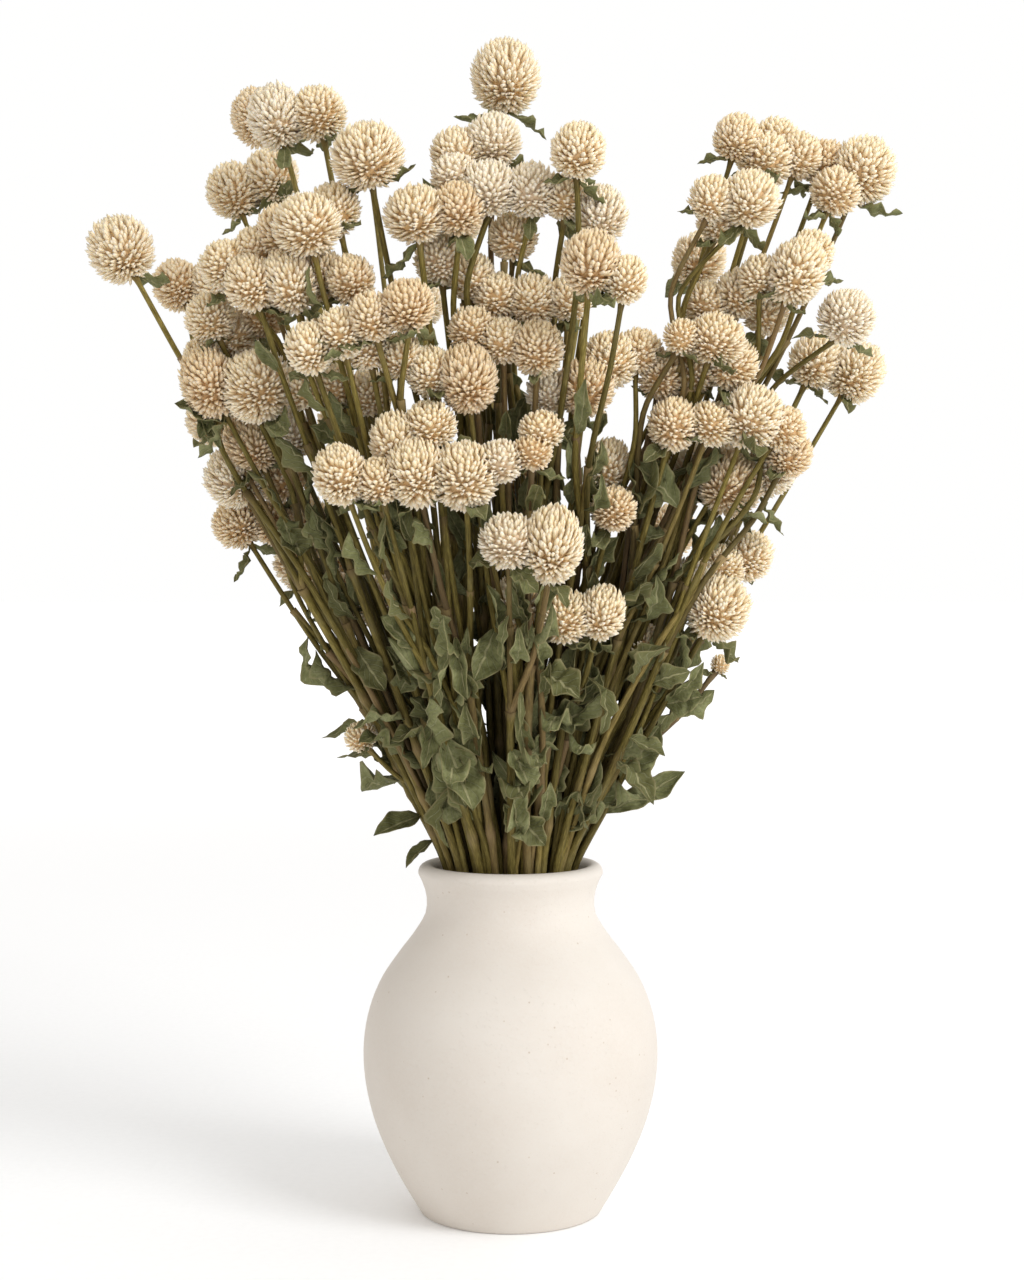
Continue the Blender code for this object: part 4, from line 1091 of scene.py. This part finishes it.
def add_stem_tube(bundle, path, lengths, radii, joint, chance, sides=STEM_SIDES):
    """A ridged tube along a path, with a radius and a share of joint brown at each ring."""
    tangents = unit(np.gradient(path, axis=0))
    side = frame_about(tangents[0])[0]
    angles = 2 * math.pi * np.arange(sides) / sides
    ridges = 1 + RIDGE * np.cos(angles * 4)
    rings = []
    for spot, along, radius in zip(path, tangents, radii):
        side = unit(side - along * side.dot(along))
        other = np.cross(along, side)
        ring = side * np.cos(angles)[:, None] + other * np.sin(angles)[:, None]
        rings.append(spot + ring * (ridges * radius)[:, None])
    points = np.concatenate(rings + [path[:1], path[-1:]])
    count = len(path)
    low = np.arange(count - 1) * sides
    high = low + sides
    found = []
    for i in range(sides):
        j = (i + 1) % sides
        found.append(np.stack([low + i, low + j, high + j], axis=1))
        found.append(np.stack([low + i, high + j, high + i], axis=1))
        found.append(np.array([[count * sides, j, i], [count * sides + 1, high[-1] + i, high[-1] + j]]))
    tint = np.empty((len(points), 4))
    tint[:-2, 0] = np.tile(np.abs(np.arange(sides) / sides - 0.5) * 2, count)
    tint[:-2, 1] = np.repeat(lengths / 60.0, sides)
    tint[:-2, 3] = np.repeat(joint, sides)
    tint[-2:] = (0.5, 0, 0, 0.6)
    tint[:, 2] = chance
    bundle.add(points, np.concatenate(found), tint, slot=0)


def swellings(lengths, joints):
    """How much of a joint there is at each length along a stem, from 0 to 1."""
    joints = np.asarray(joints, float)
    return np.exp(-(((lengths[:, None] - joints[None, :]) / JOINT_REACH) ** 2)).max(axis=1)


PLANTS = {plant: Bundle() for plant, _ in routes.stems}
PATHS = []


def make_stems():
    """The tubes of all stems and twigs, in each plant's bundle. The paths are kept, for leaves to grow from."""
    chance = random.Random(STEM_SEED)
    for plant, route in routes.stems:
        path, lengths = stem_curve([routes.points[i] for i in route])
        start = chance.uniform(0.3, 1.0) * JOINT_SPACING
        joints = [*np.arange(start, lengths[-1] - 20, JOINT_SPACING), lengths[-1]]
        swell = swellings(lengths, joints)
        radii = STEM_THICK * chance.uniform(0.92, 1.1) * (1 + JOINT_SWELL * swell)
        add_stem_tube(PLANTS[plant], path, lengths, radii, swell, chance.random())
        PATHS.append((plant, path, STEM_THICK))
    for plant, route, bloom in routes.twigs:
        path, lengths = stem_curve([routes.points[i] for i in route])
        swell = swellings(lengths, [0.0, lengths[-1]])
        taper = 1.05 - 0.2 * lengths / lengths[-1]
        radii = TWIG_THICK * chance.uniform(0.9, 1.1) * (taper + JOINT_SWELL * swell)
        add_stem_tube(PLANTS[plant], path, lengths, radii, swell, chance.random())
        PATHS.append((plant, path, TWIG_THICK))


make_stems()
print("stem paths:", len(PATHS))

# %% [markdown]
# ## Side shoots
# Most blooms have a thin stem of their own. It comes out of the neck on the inner side of the main stem and meets
# the bloom's twig part way up, so the lower third of the bunch is a close mass of stems with dark gaps.

# %% Side shoots
SHOOT_SEED = 61
SHOOT_THICK = 1.05
SHOOT_START = 112.0
SHOOT_STEP = 9.0
SHOOT_OFFSET = 5.5


def grow_shoots():
    chance = np.random.RandomState(SHOOT_SEED)
    ways = [path for _, path, _ in PATHS]
    stem_of_fork = {route[-1]: way for (_, route), way in zip(routes.stems, ways)}
    for (plant, route, _), twig in zip(routes.twigs, ways[len(routes.stems):]):
        stem = stem_of_fork[route[0]]
        aside = np.append(unit(chance.normal(0, 1, 2)), 0.0) * SHOOT_OFFSET
        aside = -aside if aside.dot(stem[-1] * (1, 1, 0)) > 0 else aside
        low = stem[np.abs(stem[:, 2] - SHOOT_START).argmin()] + aside * 0.6
        rim = stem[np.abs(stem[:, 2] - RIM_HEIGHT).argmin()] + aside * 0.4
        middle = between(rim, stem[-1], chance.uniform(0.45, 0.65)) + aside * chance.uniform(1.0, 1.9)
        meet = int(len(twig) * chance.uniform(0.3, 0.75))
        points = np.array([low, rim, middle, between(stem[-1], twig[meet], 0.25) + aside * 0.8, twig[meet]])
        knots = np.concatenate([[0], np.cumsum(np.linalg.norm(np.diff(points, axis=0), axis=1))])
        lengths = np.linspace(0, knots[-1], int(knots[-1] / SHOOT_STEP))
        path = smooth_through(knots, points, lengths, STEM_SLACK)
        swell = swellings(lengths, [lengths[-1] * 0.4, lengths[-1]])
        radii = SHOOT_THICK * chance.uniform(0.85, 1.15) * (1 + JOINT_SWELL * swell)
        add_stem_tube(PLANTS[plant], path, lengths, radii, swell, chance.uniform(0, 1), SHOOT_SIDES)
        PATHS.append((plant, path, SHOOT_THICK))


grow_shoots()
print("stem paths with side shoots:", len(PATHS))

# %% [markdown]
# ## Leaves
# A dried leaf is a thin blade that has shrunk round its rib: it arches, twists and its edges ripple. The blade is
# a grid between two edge curves and the rib, and it gets a little thickness so that it is a real, closed shape.

# %% Leaf blades
LARGE_GRID = (17, 7)
SMALL_GRID = (11, 5)
SMALL_LEAF = 19.0
BLADE = 0.12
LOBE = 0.13
RIPPLE = 0.22
CRINKLE = 0.10
BLADE_SPREADS = (0.72, 1.0, 0.62)


def grid_triangles(rows, columns):
    """Both faces of a blade of rows by columns points, the second set of points behind the first, and its rim."""
    found = []
    back = rows * columns
    for row in range(rows - 1):
        for a in range(row * columns, row * columns + columns - 1):
            b, c, d = a + 1, a + columns + 1, a + columns
            found += [(a, b, c), (a, c, d), (back + a, back + c, back + b), (back + a, back + d, back + c)]
    grid = np.arange(back).reshape(rows, columns)
    rim = [*grid[0], *grid[1:, -1], *grid[-1, -2::-1], *grid[-2:0:-1, 0]]
    for p, q in zip(rim, rim[1:] + rim[:1]):
        found += [(p, back + p, back + q), (p, back + q, q)]
    return np.array(found)


GRID_TRIANGLES = {grid: grid_triangles(*grid) for grid in (LARGE_GRID, SMALL_GRID)}


def add_leaf(bundle, rib, left, right, chance, twist=0.0, ripple=RIPPLE):
    """A curled blade whose rib and edges pass through the given points."""
    small = np.linalg.norm(rib[-1] - rib[0]) < SMALL_LEAF
    rows, columns = grid = SMALL_GRID if small else LARGE_GRID
    knots = np.array([0.0] + [share for share, _ in LEAF_STATIONS] + [1.0])
    along = np.linspace(0, 1, rows)
    middle = smooth_through(knots, rib, along)
    edges = [smooth_through(knots, np.concatenate([rib[:1], edge, rib[-1:]]), along) for edge in (left, right)]
    width = np.linalg.norm(edges[0] - edges[1], axis=1)
    forward = unit(np.gradient(middle, axis=0))
    normal = unit(np.cross(edges[0] - edges[1], forward) + 1e-6)
    turn = (twist * along)[:, None]
    phase = chance.uniform(0, 2 * math.pi, 3)
    layers = []
    for place in np.linspace(-1, 1, columns):
        size = abs(place)
        lobe = 1 + LOBE * np.sin(along * 15 + phase[0] + np.sign(place)) * size
        out = ((edges[0] if place > 0 else edges[1]) - middle) * (size * lobe)[:, None]
        out = out * np.cos(turn) + np.cross(forward, out) * np.sin(turn)
        wave = np.sin(along * 13 + phase[1] + 2.2 * place) + 0.5 * np.sin(along * 22 + phase[2])
        lift = width * (ripple * wave * size**1.5 - 0.45 * size * (1 - size))
        layers.append(middle + out + normal * lift[:, None])
    crinkle = CRINKLE * width * np.sin(along * 26 + phase[1]) * np.sin(math.pi * along)
    points = np.stack(layers, axis=1) + (normal * crinkle[:, None])[:, None]
    facing = unit(np.cross(np.gradient(points, axis=1), np.gradient(points, axis=0)))
    points = np.concatenate([(points + facing * BLADE).reshape(-1, 3), (points - facing * BLADE).reshape(-1, 3)])
    tint = np.empty((2, rows, columns, 4))
    tint[..., 0] = along[None, :, None]
    tint[..., 1] = np.abs(np.linspace(-1, 1, columns))[None, None]
    tint[..., 2] = chance.uniform(0, 1)
    tint[..., 3] = 1.0
    bundle.add(points, GRID_TRIANGLES[grid], tint.reshape(-1, 4), slot=1)


def blade_between(root, tip, width, facing, sag, fold=0.45):
    """Rib and edges of a leaf from its root to its tip. It faces one way, bows by sag and folds up by fold."""
    run = tip - root
    length = np.linalg.norm(run)
    forward = run / length
    facing = unit(facing - forward * facing.dot(forward))
    sideways = np.cross(forward, facing)
    rib = [root + run * share + facing * length * sag * 4 * share * (1 - share) for share in (0, 0.28, 0.58, 0.84, 1)]
    edge = []
    for hand in (1, -1):
        edge.append([rib[i + 1] + (sideways * hand + facing * fold) * width * 0.5 * spread
                     for i, spread in enumerate(BLADE_SPREADS)])
    return np.array(rib), np.array(edge[0]), np.array(edge[1])


def grow_joint_leaves():
    """The leaves that the solids have too, at the same ribs and edges."""
    for number, (plant, (rib, left, right)) in enumerate(leaves):
        chance = np.random.RandomState(300 + number)
        add_leaf(PLANTS[plant], rib, left, right, chance, twist=chance.uniform(-0.5, 0.5))


grow_joint_leaves()
print("triangles of a large blade:", len(GRID_TRIANGLES[LARGE_GRID]))

# %% [markdown]
# ## Leaves that were measured
# Some leaves are landmarks: the curled one low on the right, the pair that hangs out low on the left. Their roots
# and tips were measured as they look from the camera. Each root moves onto the nearest stem in front, so the leaf
# grows from something, and the leaf keeps about the depth of that stem.

# %% Measured leaves
MEASURED_LEAVES = (
    (36, 158, 70, 176, 10), (-40, 157, -55, 150, 9), (-34, 147, -42, 137, 6), (60, 203, 77, 206, 12),
    (58, 212, 72, 216, 9), (-113, 315, -134, 323, 9), (-128, 318, -124, 309, 7), (-90, 275, -84, 262, 12),
    (-95, 279, -87, 266, 10), (-76, 341, -80, 354, 15), (66, 281, 48, 300, 13), (50, 268, 62, 271, 9),
    (-25, 190, -15, 160, 15), (-35, 176, -18, 158, 14), (-20, 207, -12, 182, 13), (-8, 236, -15, 212, 13),
    (10, 216, 28, 205, 12), (15, 196, 31, 200, 12), (45, 170, 60, 195, 13), (-45, 208, -34, 222, 12),
    (-40, 226, -52, 238, 11), (5, 158, 14, 146, 12), (20, 152, 34, 160, 10), (-52, 188, -40, 172, 11),
    (30, 222, 44, 236, 11), (-4, 186, 8, 168, 12), (48, 188, 62, 182, 9), (-60, 226, -50, 208, 11),
)
MEASURED_SEED = 900
ROOT_DEPTH_SHARE = 0.12


def seen_from_eye(points):
    """Across and up of world points as the camera sees them on the plane through the vase's axis."""
    nearer = EYE_DISTANCE / (EYE_DISTANCE + points[:, 1])
    across = EYE_ACROSS + (points[:, 0] - EYE_ACROSS) * nearer
    return np.stack([across, EYE_HEIGHT + (points[:, 2] - EYE_HEIGHT) * nearer], axis=1)


STEM_SPOTS = np.concatenate([path for _, path, _ in PATHS])
STEM_OWNERS = np.concatenate([np.full(len(path), plant) for plant, path, _ in PATHS])


def stem_spot_near(across, up):
    """The stem point that looks nearest, with some preference for those in front, and its plant."""
    off = np.linalg.norm(seen_from_eye(STEM_SPOTS) - (across, up), axis=1)
    best = (off + ROOT_DEPTH_SHARE * STEM_SPOTS[:, 1]).argmin()
    return STEM_SPOTS[best], STEM_OWNERS[best]


def grow_measured_leaves():
    for number, (from_across, from_up, to_across, to_up, width) in enumerate(MEASURED_LEAVES):
        chance = np.random.RandomState(MEASURED_SEED + number)
        root, plant = stem_spot_near(from_across, from_up)
        depth_of_tip = root[1] - chance.uniform(2, 8)
        tip = world_of(np.array([[to_across, to_up]], float), np.array([depth_of_tip]))[0]
        facing = np.array([chance.uniform(-0.5, 0.5), -1.0, chance.uniform(0.0, 0.6)])
        blade = blade_between(root, tip, width, facing, chance.uniform(-0.1, 0.12), chance.uniform(0.3, 0.9))
        add_leaf(PLANTS[plant], *blade, chance, twist=chance.uniform(-0.8, 0.8))


grow_measured_leaves()
print("measured leaves:", len(MEASURED_LEAVES))

# %% [markdown]
# ## Leaves that fill the stems
# Low down the bunch is a dark mass of stems and curled leaves. Each leaf here starts on a stem and leans out from
# it a little, and it stays only if it is clear of the vase and of the blooms.

# %% Filler leaves
FILLER_SEED = 40
FILLER_LEAVES = 330
FILLER_HEIGHTS = (150.0, 350.0)
FAN_EDGE = 0.60
EDGE_SHARE = 0.22


def is_clear_of_rest(spots):
    """Whether all these points are outside the vase's lip and the blooms."""
    near_vase = (spots[:, 2] < RIM_HEIGHT + 3) & (np.hypot(spots[:, 0], spots[:, 1]) > RIM_REACH)
    away = np.linalg.norm(spots[:, None] - centres[None], axis=2)
    return not near_vase.any() and (away > half.mean(axis=1)[None] * 0.95).all()


def grow_filler_leaves():
    chance = np.random.RandomState(FILLER_SEED)
    grown = 0
    while grown < FILLER_LEAVES:
        plant, path, _ = PATHS[chance.randint(len(PATHS))]
        place = chance.randint(1, len(path) - 1)
        root = path[place]
        low = (FILLER_HEIGHTS[1] - root[2]) / (FILLER_HEIGHTS[1] - FILLER_HEIGHTS[0])
        at_edge = abs(root[0]) > FAN_EDGE * np.interp(root[2], FAN_HEIGHTS, FAN_WIDTHS)
        wanted = (0.35 + 0.65 * low) * (EDGE_SHARE if at_edge else 1.0)
        if not 0 < low < 1 or chance.uniform() > wanted:
            continue
        tangent = unit(path[place + 1] - path[place - 1])
        outward = unit(np.array([root[0], root[1], 0.0]) + chance.normal(0, 18, 3) * (1, 1, 0))
        lean = chance.uniform(0.1, 0.3) if at_edge else chance.uniform(0.2, 0.9)
        hang = -1.0 if chance.uniform() < 0.2 else 1.0
        length = chance.uniform(13, 24) + 14 * low * chance.uniform()
        tip = root + unit(tangent * hang + outward * lean) * length
        if is_clear_of_rest(np.stack([between(root, tip, share) for share in (0.5, 0.75, 1.0)])):
            facing = outward + chance.normal(0, 0.5, 3)
            width, sag, fold = length * chance.uniform(0.22, 0.36), chance.uniform(-0.18, 0.26), chance.uniform(0.3, 1.5)
            blade = blade_between(root, tip, width, facing, sag, fold)
            add_leaf(PLANTS[plant], *blade, chance, twist=chance.uniform(-1.6, 1.6))
            grown += 1


grow_filler_leaves()
print("filler leaves:", FILLER_LEAVES)

# %% [markdown]
# ## Leaf pairs under the blooms
# Two small leaves sit right under each head. They dry into curls that hug its base or hang beside the stem.

# %% Leaf pairs
PAIR_SEED = 500


def grow_pairs():
    for number, (plant, route, bloom) in enumerate(routes.twigs):
        chance = np.random.RandomState(PAIR_SEED + number)
        side, front, up = frame_about(axes[bloom])
        seat = centres[bloom] - up * half[bloom][1] * 0.93
        turn = chance.uniform(0, 2 * math.pi)
        for hand in (0, math.pi):
            if chance.uniform() < 0.2:
                continue
            angle = turn + hand + chance.normal(0, 0.25)
            out = side * math.cos(angle) + front * math.sin(angle)
            rise = chance.uniform(-0.8, 0.3)
            length = half[bloom][0] * chance.uniform(1.15, 2.05)
            tip = seat + (out + up * rise) * length / math.hypot(1, rise)
            blade = blade_between(seat, tip, length * chance.uniform(0.35, 0.5), up, chance.uniform(-0.12, 0.1))
            add_leaf(PLANTS[plant], *blade, chance, twist=chance.uniform(-0.7, 0.7))


grow_pairs()
print("pairs of small leaves grown")

# %% Finish the plants
def make_plants():
    for plant in sorted(PLANTS):
        node = f"plant_{plant + 1:02d}"
        piece_from(PLANTS[plant], node + "_fine", [STEMS, LEAVES], ["stem", "leaf"], node)


make_plants()
print("triangles so far:", sum(TRIANGLES))

# %% [markdown]
# ## The vase
# The vase was thrown on a wheel, so it is a profile turned about its axis. The profile is a smooth curve through
# the same few points as the solid's, with a round lip, and many more sides.

# %% Vase
VASE_SIDES = 128
FOOT_RADIUS = 35.6
OUTER_PROFILE = (
    (36.9, 1.2), (42.7, 11.0), (50.2, 25.7), (55.5, 40.0), (58.4, 54.0), (59.0, 63.0),
    (57.1, 79.0), (52.0, 92.5), (45.0, 103.0), (37.6, 112.9), (34.0, 119.5), (33.5, 123.5), (34.9, 131.0),
)
LIP_CENTRE = (33.6, 135.9)
LIP_RADIUS = 3.4
INNER_PROFILE = (
    (29.5, 128.0), (30.2, 118.0), (38.5, 105.5), (50.0, 88.5), (55.0, 66.0), (49.5, 33.0), (33.0, 5.0),
)


def vase_section():
    """The profile as radius and height: from the middle of the foot, up the outside, over the lip and down inside."""
    lip = [(LIP_CENTRE[0] + LIP_RADIUS * math.cos(math.radians(degrees)),
            LIP_CENTRE[1] + LIP_RADIUS * math.sin(math.radians(degrees))) for degrees in range(-10, 191, 20)]
    outside = np.array([*OUTER_PROFILE, lip[0]])
    inside = np.array([lip[-1], *INNER_PROFILE])
    curves = []
    for points in (outside, inside):
        knots = np.concatenate([[0], np.cumsum(np.linalg.norm(np.diff(points, axis=0), axis=1))])
        curves.append(smooth_through(knots, points, np.linspace(0, knots[-1], 44)))
    foot = [(FOOT_RADIUS * share, 0) for share in (0.5, 0.93)] + [(FOOT_RADIUS, 0), (FOOT_RADIUS + 0.8, 0.35)]
    return [*foot, *curves[0][:-1], *lip, *curves[1][1:]]


def make_vase():
    section = np.array(vase_section())
    angles = 2 * math.pi * np.arange(VASE_SIDES) / VASE_SIDES
    rings = [np.stack([r * np.cos(angles), r * np.sin(angles), np.full(VASE_SIDES, z)], axis=1) for r, z in section]
    points = np.concatenate([*rings, [[0, 0, 0]], [[0, 0, VASE_FLOOR]]])
    count = len(section)
    found = []
    for i in range(VASE_SIDES):
        j = (i + 1) % VASE_SIDES
        low = np.arange(count - 1) * VASE_SIDES
        high = low + VASE_SIDES
        found += [np.stack([low + i, low + j, high + j], axis=1), np.stack([low + i, high + j, high + i], axis=1)]
        found.append(np.array([[count * VASE_SIDES, j, i], [count * VASE_SIDES + 1, high[-1] + i, high[-1] + j]]))
    bundle = Bundle()
    bundle.add(points, np.concatenate(found), np.ones((len(points), 4)))
    return piece_from(bundle, "vase_turned", [STONEWARE], [], "vase")


vase = make_vase()
print("vase across", round(vase.dimensions.x, 4), "tall", round(vase.dimensions.z, 4))

# %% [markdown]
# ## Floor and light
# The bouquet stands on a white sheet in a white room. The room is a little dimmer and warmer on the left and in
# front. One large lamp on the right, a little in front, gives the blooms their form and lays a soft shadow to the
# left. The sheet glows faintly further off, where the lamp no longer reaches, so that no horizon shows.

# %% Floor, light and view
FLOOR_SIZE = 40.0
GLOW_NEAR = 0.05
GLOW_FAR = 0.36
GLOW_REACH = (0.4, 3.6)
ROOM_LEFT = (0.72, 0.70, 0.675)
ROOM_RIGHT = (0.93, 0.93, 0.93)
ROOM_BACK = (1.0, 1.0, 0.995)
LAMP_PLACE = (1.3, -1.1, 1.3)
LAMP_POWER = 22.0


def make_floor():
    look = Look("white paper floor", 0.9)
    grain = look.noise(look.place(), 300.0, 2.0)
    look.colour(look.ramp(grain, [(0.3, (0.93, 0.93, 0.93)), (0.7, (0.95, 0.95, 0.95))]))
    distance = look.add("VectorMath", {"operation": "LENGTH"}, {0: look.place()})
    far = look.step(Value(look, distance.outputs["Value"]), *GLOW_REACH)
    glow = look.mix(far, (GLOW_NEAR,) * 3, (GLOW_FAR,) * 3)
    look.plug(look.shader.inputs["Emission Color"], glow)
    look.shader.inputs["Emission Strength"].default_value = 1.0
    mesh = bpy.data.meshes.new("floor")
    reach = FLOOR_SIZE / 2
    corners = [(-reach, -reach, 0), (reach, -reach, 0), (reach, reach, 0), (-reach, reach, 0)]
    mesh.from_pydata(corners, [], [(0, 1, 2, 3)])
    mesh.materials.append(look.material)
    floor = bpy.data.objects.new("floor", mesh)
    bpy.context.scene.collection.objects.link(floor)


def make_lamp(name, place, size, power, colour):
    """A square lamp that looks at the middle of the bouquet."""
    data = bpy.data.lights.new(name, "AREA")
    data.size = size
    data.energy = power
    data.color = colour
    lamp = bpy.data.objects.new(name, data)
    lamp.location = place
    lamp.rotation_euler = (Vector((0, 0, 0.22)) - Vector(place)).to_track_quat("-Z", "Y").to_euler()
    bpy.context.scene.collection.objects.link(lamp)


def light_room():
    """A white room whose brightness follows the direction, and one lamp."""
    world = bpy.data.worlds.new("white room")
    world.use_nodes = True
    bpy.context.scene.world = world
    look = Look.__new__(Look)
    look.tree = world.node_tree
    where = Value(look, look.add("TexCoord", {}, {}).outputs["Generated"])
    across, back, _ = (Value(look, out) for out in look.add("SeparateXYZ", {}, {"Vector": where}).outputs)
    side = look.mix(look.step(across, -0.7, 0.7), ROOM_LEFT, ROOM_RIGHT)
    tone = look.mix(look.step(back, 0.2, 0.75), side, ROOM_BACK)
    look.plug(look.tree.nodes["Background"].inputs["Color"], tone)
    make_lamp("key", LAMP_PLACE, 0.9, LAMP_POWER, (0.97, 0.985, 1.0))


make_floor()
light_room()
bpy.context.scene.view_settings.view_transform = "Standard"
print("triangles in all:", sum(TRIANGLES))
